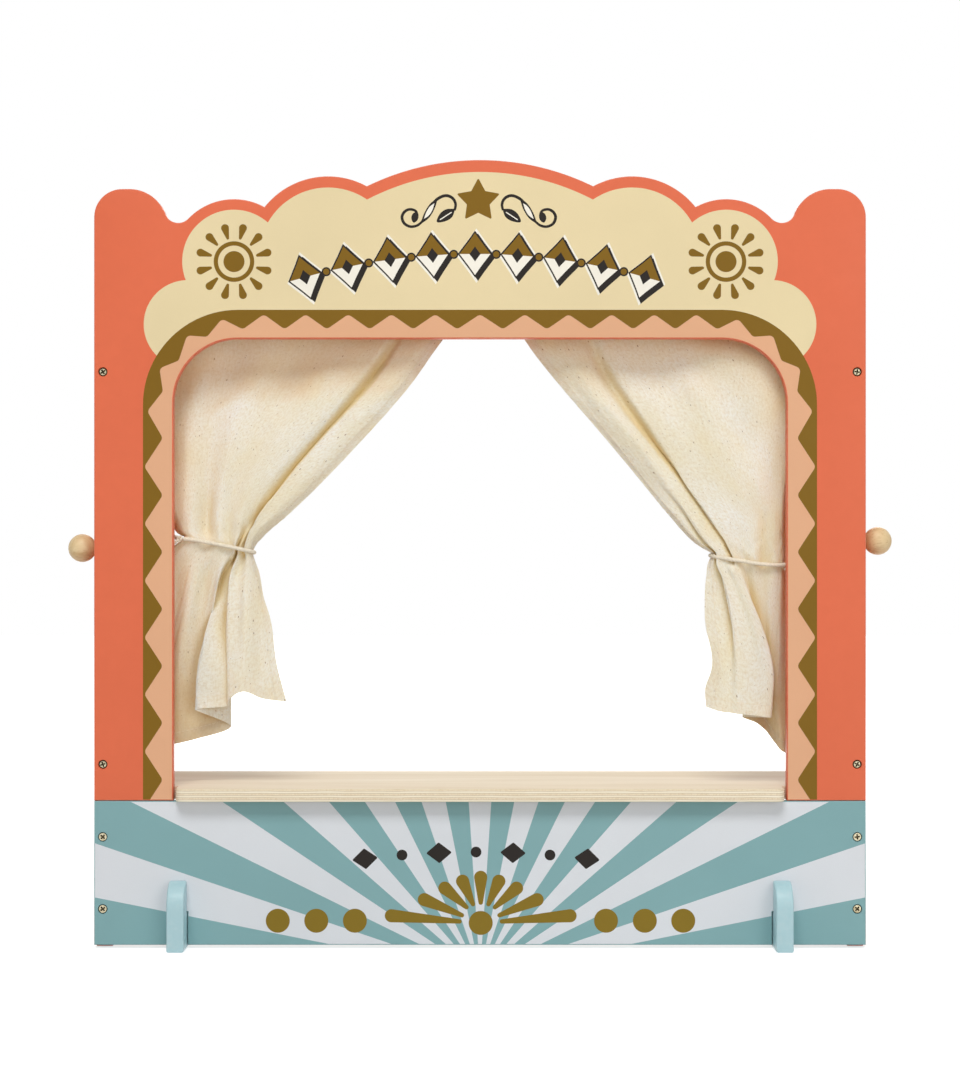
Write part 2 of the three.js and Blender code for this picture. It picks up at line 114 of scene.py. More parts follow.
class Nodes:
    """A node tree and short calls that add nodes to it. A value is a number, a colour or another node's output."""

    def __init__(self, name, data=None):
        self.data = data or bpy.data.materials.new(name)
        self.data.use_nodes = True
        self.tree = self.data.node_tree

    def put(self, node, values):
        for key, value in values.items():
            if isinstance(value, bpy.types.NodeSocket):
                self.tree.links.new(value, node.inputs[key])
            else:
                node.inputs[key].default_value = value

    def add(self, kind, values={}, **settings):
        """Adds a node and gives its outputs"""
        node = self.tree.nodes.new(kind)
        for key, value in settings.items():
            setattr(node, key, value)
        self.put(node, values)
        return node.outputs

    def place(self, which="Object"):
        return self.add("ShaderNodeTexCoord")[which]

    def xyz(self, vector):
        return self.add("ShaderNodeSeparateXYZ", {0: vector})

    def scaled(self, vector, *scale):
        return self.add("ShaderNodeMapping", {"Vector": vector, "Scale": scale})["Vector"]

    def noise(self, at, scale, detail, rough=0.55, distort=0.0):
        return self.add("ShaderNodeTexNoise", {"Vector": at, "Scale": scale, "Detail": detail, "Roughness": rough,
                                               "Distortion": distort})["Fac"]

    def ramp(self, value, low, high, a=0.0, b=1.0):
        return self.add("ShaderNodeMapRange", {"Value": value, "From Min": low, "From Max": high, "To Min": a,
                                               "To Max": b})["Result"]

    def patches(self, at, scale, detail, *levels, rough=0.55):
        """Noise through a ramp"""
        return self.ramp(self.noise(at, scale, detail, rough), *levels)

    def tucked(self, distance, samples, *levels, local=False):
        """Ambient occlusion through a ramp"""
        return self.ramp(self.add("ShaderNodeAmbientOcclusion", {"Distance": distance}, samples=samples,
                                  only_local=local)["AO"], *levels)

    def math(self, kind, a, b=0.0, clamp=False):
        return self.add("ShaderNodeMath", {0: a, 1: b}, operation=kind, use_clamp=clamp)[0]

    def times(self, a, b):
        return self.math("MULTIPLY", a, b)

    def mix(self, factor, a, b):
        return self.add("ShaderNodeMix", {0: factor, 6: a, 7: b}, data_type="RGBA")[2]

    def bump(self, height, strength, distance, before=None):
        values = {"Height": height, "Strength": strength, "Distance": distance}
        return self.add("ShaderNodeBump", values | ({} if before is None else {"Normal": before}))["Normal"]

    def finish(self, colour, rough, normal=None, **values):
        values = {"Base Color": colour, "Roughness": rough} | {k.replace("_", " "): v for k, v in values.items()}
        self.put(self.tree.nodes["Principled BSDF"], values | ({} if normal is None else {"Normal": normal}))
        return self.data


def paint(name, colour, gloss):
    """Sprayed satin paint over sanded wood: a little uneven, lighter where the arris is rubbed"""
    n = Nodes(name)
    at = n.place()
    tone = n.mix(n.patches(at, 7, 2, 0.3, 0.7), tint(colour, 0.965), tint(colour, 1.03))
    tone = n.mix(n.patches(at, 90, 3, 0.35, 0.7, 0, 0.35), tone, tint(colour, 0.95))
    edge = n.add("ShaderNodeAttribute", attribute_name="arris")["Fac"]
    rub = n.times(edge, n.patches(at, 260, 3, 0.45, 0.7, 0.1, 0.55))
    pale = (*(min(1.0, c * 0.8 + 0.16) for c in colour[:3]), 1.0)
    rough = n.patches(at, 45, 3, 0.3, 0.7, gloss - 0.05, gloss + 0.07)
    fibre = n.noise(n.scaled(at, 1.0, 1.0, 0.08), 1500, 2)
    normal = n.bump(n.noise(at, 650, 2), 0.12, 0.00006, n.bump(fibre, 0.1, 0.00005))
    return n.finish(n.mix(rub, tone, pale), rough, normal, Specular_IOR_Level=0.22)


def ink(name, colour):
    """Screen-printed ink: flat, with the mesh's fine grain"""
    n = Nodes(name)
    at = n.place()
    tone = n.mix(n.patches(at, 9, 2, 0.3, 0.7), tint(colour, 0.97), tint(colour, 1.025))
    tone = n.mix(n.patches(at, 1400, 1, 0.5, 0.75, 0, 0.25), tone, tint(colour, 0.9))
    rough = n.patches(at, 60, 3, 0.3, 0.7, 0.46, 0.56)
    return n.finish(tone, rough, n.bump(n.noise(at, 1100, 2), 0.1, 0.00005), Specular_IOR_Level=0.18)


PLIES = 6.0


def plywood(name):
    """Birch plywood: straight grain along X on the faces, plies and glue lines on the edges"""
    n = Nodes(name)
    at = n.place()
    broad = n.noise(n.scaled(at, 2.2, 34, 34), 1, 3, 0.6, 0.6)
    fine = n.noise(n.scaled(at, 30, 900, 900), 1, 3)
    face = n.mix(n.ramp(broad, 0.32, 0.72), srgb(218, 206, 182), srgb(204, 188, 158))
    face = n.mix(n.ramp(fine, 0.45, 0.8, 0, 0.5), face, srgb(209, 190, 155))
    level = n.times(n.math("SUBTRACT", n.xyz(at)["Z"], SHELF_LOW.z), PLIES / (SHELF_HIGH.z - SHELF_LOW.z))
    level = n.math("ADD", level, n.patches(n.scaled(at, 40, 40, 1), 1, 2, 0.3, 0.7, -0.1, 0.1))
    glue = n.math("GREATER_THAN", n.math("ABSOLUTE", n.math("SUBTRACT", n.math("FRACT", level), 0.5)), 0.41)
    odd = n.math("GREATER_THAN", n.math("FRACT", n.times(level, 0.5)), 0.5)
    long_grain = n.mix(n.patches(n.scaled(at, 40, 40, 1400), 1, 2, 0.35, 0.7), srgb(245, 237, 217),
                       srgb(236, 224, 198))
    end_grain = n.mix(n.patches(n.scaled(at, 1500, 1500, 700), 1, 2, 0.4, 0.7), srgb(235, 222, 195),
                      srgb(222, 204, 171))
    edge = n.mix(n.times(glue, 0.6), n.mix(odd, long_grain, end_grain), srgb(158, 122, 84))
    is_face = n.ramp(n.math("ABSOLUTE", n.xyz(n.place("Normal"))["Z"]), 0.6, 0.8)
    return n.finish(n.mix(is_face, edge, face), n.ramp(broad, 0.3, 0.7, 0.5, 0.62), n.bump(fine, 0.25, 0.00012))


def turned_wood(name):
    """Turned beech with its grain along X"""
    n = Nodes(name)
    at = n.place()
    rings = n.noise(n.scaled(at, 8, 95, 95), 1, 3, 0.5, 1.2)
    flecks = n.noise(n.scaled(at, 120, 900, 900), 1, 2)
    tone = n.mix(n.ramp(rings, 0.3, 0.72), srgb(231, 208, 163), srgb(208, 176, 125))
    tone = n.mix(n.ramp(flecks, 0.55, 0.75, 0, 0.5), tone, srgb(178, 140, 92))
    return n.finish(tone, n.ramp(rings, 0.3, 0.7, 0.42, 0.55), n.bump(flecks, 0.2, 0.0001))


# The cloth's UV map is the flat cut in metres, with v from 0 at the seam down to the hem. The right curtain lies
# RIGHT_CUT further along u, and the cloth's other side OTHER_SIDE further along v.
RIGHT_CUT, OTHER_SIDE = 0.7, 0.5


def calico(name):
    """Unbleached plain weave with slubs and brown seed flecks. Painted shade: a brown band below the rod where the
    header's shadow falls, ochre on the outer hem of the back layer, and darker in creases and near the panels; light
    passes through it"""
    n = Nodes(name)
    at = n.place("UV")
    tone = n.mix(n.patches(at, 14, 3, 0.3, 0.7), srgb(242, 241, 234), srgb(235, 226, 202))
    tone = n.mix(n.patches(at, 420, 3, 0.42, 0.72, 0, 0.55, rough=0.7), tone, srgb(214, 194, 156))
    warp = n.noise(n.scaled(at, 1700, 110, 1), 1, 2)
    weft = n.noise(n.scaled(at, 110, 1700, 1), 1, 2)
    tone = n.mix(n.ramp(warp, 0.52, 0.8, 0, 0.5), tone, srgb(212, 192, 156))
    tone = n.mix(n.ramp(weft, 0.55, 0.8, 0, 0.35), tone, srgb(250, 243, 226))
    for scale, least, most, colour in ((260, 0.45, 0.15, srgb(128, 88, 52)), (520, 0.6, 0.17, srgb(160, 122, 82))):
        cells = n.add("ShaderNodeTexVoronoi", {"Vector": n.scaled(at, 1.0, 0.6, 1.0), "Scale": scale}, feature="F1")
        pick = n.add("ShaderNodeSeparateColor", {0: cells["Color"]})[0]
        speck = n.math("LESS_THAN", cells["Distance"], n.ramp(pick, least, 1.0, 0.0, most))
        tone = n.mix(n.times(speck, 0.7), tone, colour)
    cut = n.xyz(at)
    # painted shadow of the header: a brown band in the top few centimetres of the cloth, its lower edge wandering,
    # weaker at the seam itself and on the right curtain
    along = n.math("SUBTRACT", cut["Y"], n.times(n.math("GREATER_THAN", cut["Y"], 0.1), OTHER_SIDE))
    down = n.math("ADD", along, n.patches(at, 30, 3, 0.3, 0.7, 0.012, -0.012))
    painted_header_shadow = n.times(n.ramp(down, -0.066, -0.04, 0, 0.42), n.ramp(along, -0.032, -0.012, 1, 0.3))
    painted_header_shadow = n.times(painted_header_shadow, n.ramp(cut["X"], RIGHT_CUT - 0.01, RIGHT_CUT, 1, 0.3))
    tone = n.mix(painted_header_shadow, tone, srgb(218, 180, 136))
    # painted shade: ochre on the hem of the outer part, the back layer that hangs in the shadow of the front flap
    outer = n.ramp(n.math("MODULO", cut["X"], RIGHT_CUT), 0.13, 0.165, 1, 0)
    tone = n.mix(n.times(n.ramp(down, -0.305, -0.275, 0.5, 0), outer), tone, srgb(204, 180, 126))
    # painted shade: ochre in creases from close occlusion, and warm brown near the panels from wider occlusion
    tone = n.mix(n.tucked(0.012, 8, 0.2, 0.92, 0.68, 0.0, local=True), tone, srgb(209, 187, 118))
    tone = n.mix(n.tucked(0.06, 8, 0.3, 0.85, 0.36, 0.0), tone, srgb(222, 190, 132))
    threads = [n.add("ShaderNodeTexWave", {"Vector": at, "Scale": 330, "Distortion": 0.7, "Detail": 1.0},
                     wave_type="BANDS", bands_direction=axis, wave_profile="SIN")["Fac"] for axis in ("X", "Y")]
    yarn = n.math("ADD", n.times(warp, 0.7), n.times(weft, 0.7))
    normal = n.bump(yarn, 0.3, 0.0002, n.bump(n.noise(at, 75, 4, 0.6, 0.4), 0.35, 0.0011))
    return n.finish(tone, 0.92, n.bump(n.times(*threads), 0.3, 0.00015, normal), Sheen_Weight=0.2,
                    Sheen_Roughness=0.5, Sheen_Tint=srgb(250, 240, 220), Specular_IOR_Level=0.15,
                    Subsurface_Weight=0.45, Subsurface_Radius=(1.0, 0.88, 0.66), Subsurface_Scale=0.0016)


def cotton(name, colour):
    """Twisted cotton yarn with fuzz, darker in the hollows between its strands as painted shade"""
    n = Nodes(name)
    at = n.place()
    tone = n.mix(n.patches(at, 420, 3, 0.35, 0.7), tint(colour, 1.03), tint(colour, 0.9))
    # painted shade in the hollows between the strands, from close occlusion
    tone = n.mix(n.tucked(0.0012, 6, 0.3, 0.95, 0.8, 0.0), tone, srgb(176, 140, 96))
    return n.finish(tone, 0.95, n.bump(n.noise(at, 2600, 3), 0.5, 0.0002), Sheen_Weight=0.3, Sheen_Roughness=0.5)


def zinc(name, light, dark):
    n = Nodes(name)
    at = n.place()
    tone = n.mix(n.patches(at, 500, 3, 0.35, 0.7), light, dark)
    rough = n.patches(at, 900, 3, 0.3, 0.7, 0.26, 0.46)
    return n.finish(tone, rough, n.bump(n.noise(at, 2500, 2), 0.15, 0.00005), Metallic=0.92)


TEAL = srgb(131, 172, 176)
PAINTS = {"orange": (srgb(224, 111, 77), 0.44), "teal": (TEAL, 0.44), "blue": (srgb(174, 209, 217), 0.38)}
INKS = {"cream": srgb(231, 214, 171), "olive": srgb(127, 95, 24), "peach": srgb(226, 174, 137),
        "white": srgb(219, 224, 230), "bright": srgb(244, 240, 228), "dark": srgb(33, 28, 25),
        "gold": srgb(133, 110, 34), "teal": TEAL}
MATS = {name: paint(f"{name}_paint", *look) for name, look in PAINTS.items()}
MATS |= {f"{name}_ink": ink(f"{name}_ink", colour) for name, colour in INKS.items()}
MATS |= {
    "plywood": plywood("birch_plywood"),
    "turned": turned_wood("turned_beech"),
    "calico": calico("calico"),
    "cotton": cotton("cotton_cord", srgb(238, 229, 208)),
    "thread": cotton("sewing_thread", srgb(240, 230, 206)),
    "zinc": zinc("zinc_plate", srgb(198, 191, 165), srgb(154, 143, 112)),
    # a darker copy of the zinc: painted shade for the screws' cross recesses and head rims
    "recess": zinc("zinc_painted_shade", srgb(86, 78, 58), srgb(58, 50, 36)),
}

# ---------------------------------------------------------------- mesh helpers


def placed(name, data):
    obj = bpy.data.objects.new(name, data)
    scene.collection.objects.link(obj)
    return obj


def smoothed(mesh, degrees):
    mesh.shade_smooth()
    mesh.set_sharp_from_angle(angle=math.radians(degrees))


def new_object(name, mesh, mats, body="root", slot=None, smooth=32, stands_for=None):
    obj = placed(name, mesh)
    for mat in mats:
        mesh.materials.append(MATS[mat])
    if smooth:
        smoothed(mesh, smooth)
    if body:
        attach(obj, body)
    if stands_for:
        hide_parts(stands_for)
    return obj


def mesh_of(name, verts, faces):
    mesh = bpy.data.meshes.new(name)
    mesh.from_pydata(verts, [], faces)
    mesh.update()
    return mesh


def from_bmesh(name, bm):
    mesh = bpy.data.meshes.new(name)
    bm.to_mesh(mesh)
    bm.free()
    return mesh


def skin(bm, rows):
    """Quads between closed rows of vertices; a row of one vertex is a pole"""
    count = max(map(len, rows))
    for near, far in zip(rows, rows[1:]):
        for i in range(count):
            j = (i + 1) % count
            quad = [near[i % len(near)], near[j % len(near)], far[j % len(far)], far[i % len(far)]]
            bm.faces.new(list(dict.fromkeys(quad)))


def polar(cx, cy, r, w):
    return cx + r * math.cos(w), cy + r * math.sin(w)


def arc(cx, cy, r, a, b, count):
    return [polar(cx, cy, r, a + (b - a) * i / count) for i in range(count + 1)]


def circle(cx, cy, r, count):
    return arc(cx, cy, r, 0, 2 * math.pi, count)[:-1]


def pairs(points):
    return [tuple(p) for p in points]


TOUCHING = 1e-6


def cleaned(loop):
    """The loop without points that touch the one before them"""
    out = []
    for p in loop:
        if not out or math.dist(out[-1], p) > TOUCHING:
            out.append(p)
    if math.dist(out[0], out[-1]) <= TOUCHING:
        out.pop()
    return out


def area_of(loop):
    return 0.5 * sum(a[0] * b[1] - b[0] * a[1] for a, b in zip(loop, loop[1:] + loop[:1]))


def anticlockwise(loop):
    return loop if area_of(loop) > 0 else loop[::-1]


def inset(loop, by):
    """The loop moved inwards along its corner bisectors; it runs anticlockwise"""
    p = np.array(loop)
    before, after = p - np.roll(p, 1, 0), np.roll(p, -1, 0) - p
    n0, n1 = (np.stack([-d[:, 1], d[:, 0]], 1) / np.linalg.norm(d, axis=1)[:, None] for d in (before, after))
    mid = n0 + n1
    mid /= np.maximum(np.linalg.norm(mid, axis=1), 1e-9)[:, None]
    reach = by / np.maximum((mid * n0).sum(1), 0.35)
    return pairs(p + mid * reach[:, None])


def rounded(corners, radius, steps=6):
    """A loop whose corners are rounded off"""
    out = []
    for before, p, after in zip([corners[-1], *corners], corners, [*corners[1:], corners[0]]):
        a, b, c = Vector(before), Vector(p), Vector(after)
        u, v = (a - b).normalized(), (c - b).normalized()
        half = u.angle(v) / 2
        cut = min(radius / math.tan(half), 0.48 * (a - b).length, 0.48 * (c - b).length)
        r = cut * math.tan(half)
        if r < 1e-7 or half > math.radians(88):
            out.append(tuple(b))
            continue
        centre = b + (u + v).normalized() * (r / math.sin(half))
        first, last = b + u * cut - centre, b + v * cut - centre
        turn = math.atan2(first.x * last.y - first.y * last.x, first.dot(last))
        for k in range(steps + 1):
            w = turn * k / steps
            out.append((centre.x + first.x * math.cos(w) - first.y * math.sin(w),
                        centre.y + first.x * math.sin(w) + first.y * math.cos(w)))
    return out


def fill(outer, holes=(), regions=()):
    """Triangles inside outer and outside holes: points, triangles and each triangle's topmost region, or -1"""
    points, faces = [], []
    for loop in map(anticlockwise, [outer, *holes, *regions]):
        faces.append(list(range(len(points), len(points) + len(loop))))
        points += map(Vector, loop)
    got, _, tris, _, _, origin = delaunay_2d_cdt(points, [], faces, 1, 1e-7)
    keep, region = [], []
    first = 1 + len(holes)
    for tri, ids in zip(tris, origin):
        if 0 in ids and not any(1 <= i < first for i in ids):
            keep.append(tri if area_of([tuple(got[i]) for i in tri]) > 0 else tri[::-1])
            region.append(max([i - first for i in ids if i >= first], default=-1))
    return pairs(got), keep, region


CUP_SIDES = 40


def slab(name, outline, thickness, edge, place, mat, front_cups=(), back_cups=(), steps=4, **kw):
    """A board. outline is a loop in (u, v), place(u, v, depth) gives the point in the frame, and depth runs
    from 0 at the front face. A cup is a round blind hole: (u, v, [(radius, depth), ...])."""
    outline = anticlockwise(cleaned(outline))
    bm = bmesh.new()
    arris = bm.verts.layers.float.new("arris")
    turns = [0.5 * math.pi * k / steps for k in range(steps + 1)]
    rounding = [(edge * (1 - math.sin(a)), edge * (1 - math.cos(a))) for a in turns]
    levels = rounding + [(by, thickness - depth) for by, depth in reversed(rounding)]
    rows = [[bm.verts.new(place(u, v, depth)) for u, v in inset(outline, by)] for by, depth in levels]
    for row in rows[1:-1]:
        for vert in row:
            vert[arris] = 1.0
    skin(bm, rows)
    for cups, deep, sign in ((front_cups, 0.0, 1), (back_cups, thickness, -1)):
        holes = [circle(u, v, profile[0][0], CUP_SIDES) for u, v, profile in cups]
        points, tris, _ = fill(inset(outline, edge), holes)
        verts = [bm.verts.new(place(u, v, deep)) for u, v in points]
        for tri in tris:
            bm.faces.new([verts[i] for i in tri[::sign]])
        for u, v, profile in cups:
            rows = [[bm.verts.new(place(*p, deep + sign * depth)) for p in circle(u, v, radius, CUP_SIDES)]
                    for radius, depth in [(profile[0][0], 0.0), *profile]]
            skin(bm, rows)
            bm.faces.new(rows[-1])
    bmesh.ops.remove_doubles(bm, verts=bm.verts, dist=2e-7)
    bmesh.ops.recalc_face_normals(bm, faces=bm.faces)
    return new_object(name, from_bmesh(name, bm), [mat], **kw)


INK_LIFT = 0.0001


def printed(name, outline, holes, regions, place):
    """A printed layer on a face: regions are (ink, loop) from the bottom up, cut to the outline"""
    inks = sorted({region[0] for region in regions})
    points, tris, top = fill(outline, holes, [loop for _, loop in regions])
    bm = bmesh.new()
    verts = {}

    def vert(i, depth):
        if (i, depth) not in verts:
            verts[i, depth] = bm.verts.new(place(*points[i], depth))
        return verts[i, depth]

    sides = {}
    for tri, region in zip(tris, top):
        if region < 0:
            continue
        face = bm.faces.new([vert(i, -INK_LIFT) for i in tri])
        face.material_index = inks.index(regions[region][0])
        for a, b in zip(tri, tri[1:] + tri[:1]):
            if (b, a) in sides:
                del sides[b, a]
            else:
                sides[a, b] = face.material_index
    for (a, b), index in sides.items():
        face = bm.faces.new((vert(b, -INK_LIFT), vert(a, -INK_LIFT), vert(a, 0.0), vert(b, 0.0)))
        face.material_index = index
    bmesh.ops.recalc_face_normals(bm, faces=bm.faces)
    away = Vector(place(0, 0, -1)) - Vector(place(0, 0, 0))
    if sum(f.normal.dot(away) * f.calc_area() for f in bm.faces if len(f.verts) == 3) < 0:
        bmesh.ops.reverse_faces(bm, faces=bm.faces)
    return new_object(name, from_bmesh(name, bm), [f"{name}_ink" for name in inks], smooth=None)


def lathe(name, profile, place, mat, count, **kw):
    """A turned piece. profile is [(along, radius), ...] and place(along, a, b) gives the point in the frame"""
    bm = bmesh.new()
    skin(bm, [[bm.verts.new(place(along, a, b)) for a, b in (circle(0, 0, radius, count) if radius else [(0, 0)])]
              for along, radius in profile])
    bmesh.ops.recalc_face_normals(bm, faces=bm.faces)
    return new_object(name, from_bmesh(name, bm), [mat], **kw)


def rounded_profile(points, radius, steps=4):
    """Rounds a lathe profile's inner corners"""
    out = [points[0]]
    for a, b, c in zip(points, points[1:], points[2:]):
        a, b, c = Vector(a), Vector(b), Vector(c)
        u, v = a - b, c - b
        cut = min(radius, 0.45 * u.length, 0.45 * v.length)
        p, q = b + u.normalized() * cut, b + v.normalized() * cut
        for t in (k / steps for k in range(steps + 1)):
            out.append(tuple(p * (1 - t) ** 2 + b * 2 * t * (1 - t) + q * t * t))
    return [*out, points[-1]]


def lengths_along(points):
    return np.r_[0, np.cumsum(np.linalg.norm(np.diff(points, axis=0), axis=1))]


def between(a, b, t0, t1, t):
    """From a at t0 to b at t1"""
    return (t1 - t) / (t1 - t0) * a + (t - t0) / (t1 - t0) * b


def flowing(points, per_span=12):
    """A centripetal curve through the points"""
    p = np.array(points, float)
    p = np.vstack([2 * p[0] - p[1], p, 2 * p[-1] - p[-2]])
    out = []
    for i in range(1, len(p) - 2):
        a, b, c, d = p[i - 1: i + 3]
        t0, t1, t2, t3 = np.cumsum([0.0, *(np.linalg.norm(step) ** 0.5 for step in (b - a, c - b, d - c))])
        t = np.linspace(t1, t2, per_span, endpoint=False)[:, None]
        a1, a2, a3 = between(a, b, t0, t1, t), between(b, c, t1, t2, t), between(c, d, t2, t3, t)
        out.append(between(between(a1, a2, t0, t2, t), between(a2, a3, t1, t3, t), t1, t2, t))
    return np.vstack([*out, p[-2][None]])


# ---------------------------------------------------------------- front panels

SCREW_HOLE = 0.00375
SCREW_CUP = [(SCREW_HOLE, 0.0013), (0.0024, 0.0028), (0.0021, 0.0045)]
SCREWS = sorted(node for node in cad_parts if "_screw_" in node)
PANEL_EDGE = 0.0008


def cups_for(prefix, axis=0):
    return [(middle(n)[axis], middle(n).z, SCREW_CUP) for n in SCREWS if n.startswith(prefix)]


def on_front(u, v, depth):
    return (u, FRONT_Y + depth, v)


def mirrored(loop):
    return [(-x, z) for x, z in reversed(loop)]


def lobe(across, drop, radius):
    """One lobe of the header's left half, from shares of the panel's half width"""
    return (-across * HALF, CREST - drop * HALF, radius * HALF)


def grown(c, by):
    return (c[0], c[1], c[2] + by)


def crossing(a, b):
    """The upper of the two points where circles cross"""
    apart = math.hypot(b[0] - a[0], b[1] - a[1])
    along = (apart**2 + a[2] ** 2 - b[2] ** 2) / (2 * apart)
    off = math.sqrt(a[2] ** 2 - along**2)
    ux, uy = (b[0] - a[0]) / apart, (b[1] - a[1]) / apart
    turn = 1 if ux > 0 else -1
    return (a[0] + along * ux - turn * off * uy, a[1] + along * uy + turn * off * ux)


def bearing(c, p):
    return math.atan2(p[1] - c[1], p[0] - c[0])


def header_outline():
    """From the left edge over the lobes to the crest, and mirrored down the right"""
    corner, ear = lobe(0.9275, 0.1476, 0.0725), lobe(0.908, 0.173, 0.0979)
    outer, inner = lobe(0.6378, 0.265, 0.1637), lobe(0.3938, 0.2526, 0.2104)
    crown = lobe(0.0, 0.6684, 0.6684)
    r = 0.0363 * HALF
    valley = (*crossing(grown(ear, r), grown(outer, r)), r)
    cusp, notch = crossing(outer, inner), crossing(inner, crown)
    left = arc(*corner, math.pi, math.pi / 2, 14)
    left += arc(*ear, math.pi / 2, bearing(ear, valley), 26)
    left += arc(*valley, bearing(valley, ear), bearing(valley, outer), 14)
    left += arc(*outer, bearing(outer, valley), bearing(outer, cusp), 30)
    left += arc(*inner, bearing(inner, cusp), bearing(inner, notch), 30)
    left += arc(*crown, bearing(crown, notch), math.pi / 2, 36)
    return left + mirrored(left)


OPENING_HALF, OPENING_TOP, OPENING_RADIUS = 0.2386, CREST - 0.1388, 0.05


def arch():
    """The proscenium's outline: the header and two legs round the opening"""
    loop = [(-OPENING_HALF, STAGE_BASE), (-HALF, STAGE_BASE), *header_outline(), (HALF, STAGE_BASE),
            (OPENING_HALF, STAGE_BASE)]
    for side in (1, -1):
        start = 0 if side > 0 else math.pi / 2
        loop += arc(side * (OPENING_HALF - OPENING_RADIUS), OPENING_TOP - OPENING_RADIUS, OPENING_RADIUS, start,
                    start + math.pi / 2, 20)
    return loop


def disc(col, row, r, count=96):
    return circle(*pt(col, row), r * PIXEL, count)


def olive_band():
    """The arched band's outer edge, down both sides"""
    (x, z), r = pt(143.0, 309.8), 95.0 * PIXEL
    left = [(x, pt(0, 830.0)[1]), *arc(x + r, z - r, r, math.pi, math.pi / 2, 24)]
    return left + mirrored(left)


def zigzag():
    """The peach band's outer edge with its rounded teeth; everything inside it is peach"""
    left = [(162.8, 837.0), (144.3, 808.4), (162.8, 779.9)]
    for row in (722.9, 665.9, 609.0, 552.0, 495.1, 438.1):
        left += [(144.3, row + 28.5), (162.8, row)]
    left += [(147.3, 411.2), (162.9, 391.3), (159.5, 368.3), (178.7, 360.6), (187.0, 335.4), (207.0, 336.9),
             (221.9, 318.8)]
    tips = [242.9 + 41.39 * i + 0.294 * i * i for i in range(6)]
    for col, after in zip(tips, tips[1:]):
        left += [(col, 329.3), ((col + after) / 2, 314.3)]
    left = [pt(*p) for p in [*left, (tips[-1], 329.3)]]
    return rounded([*left, pt(MIDDLE_PX, 314.3), *mirrored(left)], 5.0 * PIXEL)


def star(cx, cz, big, small, corner):
    """A five-pointed star"""
    return rounded([polar(cx, cz, small if i % 2 else big, math.pi / 2 + math.pi * i / 5) for i in range(10)],
                   corner, 4)


def drop(head, tail, r, r_tail):
    """A teardrop from a round head to a narrow round tail"""
    w = bearing(head, tail)
    lean = math.acos(max(-1, min(1, (r - r_tail) / math.dist(head, tail))))
    return arc(*head, r, w + lean, w + 2 * math.pi - lean, 28) + arc(*tail, r_tail, w - lean, w + lean, 10)


def rosette(col, row, radius):
    """A round printed motif: a ring, a middle disc and twelve drops"""
    (cx, cz), size = pt(col, row), radius * PIXEL
    regions = [("olive", circle(cx, cz, size * 0.52, 72)), ("cream", circle(cx, cz, size * 0.41, 64)),
               ("olive", circle(cx, cz, size * 0.27, 48))]
    for w in (2 * math.pi * (i + 0.5) / 12 for i in range(12)):
        head, tail = polar(cx, cz, size * 0.89, w), polar(cx, cz, size * 0.62, w)
        regions.append(("olive", drop(head, tail, size * 0.1, size * 0.035)))
    return regions


def stroke(points, widths):
    """A brush stroke along the points, as one loop"""
    p = np.array(points)
    d = np.gradient(p, axis=0)
    nrm = np.stack([-d[:, 1], d[:, 0]], 1) / np.linalg.norm(d, axis=1)[:, None]
    w = np.array(widths)[:, None] / 2
    return pairs(np.vstack([p + nrm * w, (p - nrm * w)[::-1]]))


def shrunk(loop, share):
    cx, cy = (sum(p[i] for p in loop) / len(loop) for i in (0, 1))
    return cleaned([(cx + (x - cx) * share, cy + (y - cy) * share) for x, y in loop])


SCROLL_MIDDLE = 478.8


def spiral_scroll(side):
    """An S-shaped scroll: a bud and its curl, a slim lens, and a hook that ends in a veined leaf"""
    def at(points, per_span=8):
        return flowing([pt(c, r) if side < 0 else pt(2 * SCROLL_MIDDLE - c, r) for c, r in points], per_span)

    def line(points, width):
        p = at(points)
        return stroke(p, width * PIXEL * (0.8 + 0.2 * np.sin(math.pi * np.linspace(0, 1, len(p)))))

    def closed(points):
        return cleaned(pairs(at([*points, points[0]], 6)[:-1]))

    root, tip = (421.9, 221.9), (436.3, 200.6)
    curl = [(417.5, 216), (415.6, 211), (409.4, 209.4), (404.4, 212), (402, 217), (404.3, 223.4), (410.5, 226.6),
            (417.2, 225.5), root]
    hook = [root, (429.4, 209.4), (436.9, 199.4), (446.3, 195.6), (452.8, 198.4), (455.6, 204.2), (454.6, 210.4)]
    leaf = [(455.2, 208.8), (446.2, 209.3), (440.1, 213.6), (436.8, 222.0), (445.6, 221.2), (452.2, 216.9)]
    bud = [(417.5, 211.2), (413.0, 213.5), (411.3, 218.2), (413.6, 222.6), (417.3, 220.4), (418.6, 215.8)]
    vein = at([(439.9, 219.8), (445.9, 215.9), (451.6, 212.2)], 6)
    lens = pairs(np.vstack([at([root, (425.3, 212.5), (430.6, 204.4), tip]),
                            at([root, (428.8, 216.9), (433.6, 209.2), tip])[::-1]]))
    return [("dark", line(curl, 2.9)), ("dark", line(hook, 3.0)), ("dark", shrunk(lens, 1.22)),
            ("bright", shrunk(lens, 0.74)), ("dark", closed(bud)), ("dark", closed(leaf)),
            ("bright", stroke(vein, np.full(len(vein), 1.0 * PIXEL)))]


def on_arc(col):
    """The garland's middle line: its row and its slope's angle at a photo column"""
    r, cx, top = 634.0, 475.0, 254.0
    dx = col - cx
    return top + r - math.sqrt(r * r - dx * dx), math.asin(dx / r)


def turned_loop(loop, col, row, w):
    """Moves a loop drawn in pixels, y up, to a photo place and turns it clockwise by w"""
    c, s = math.cos(-w), math.sin(-w)
    return [pt(col + x * c - y * s, row - (x * s + y * c)) for x, y in loop]


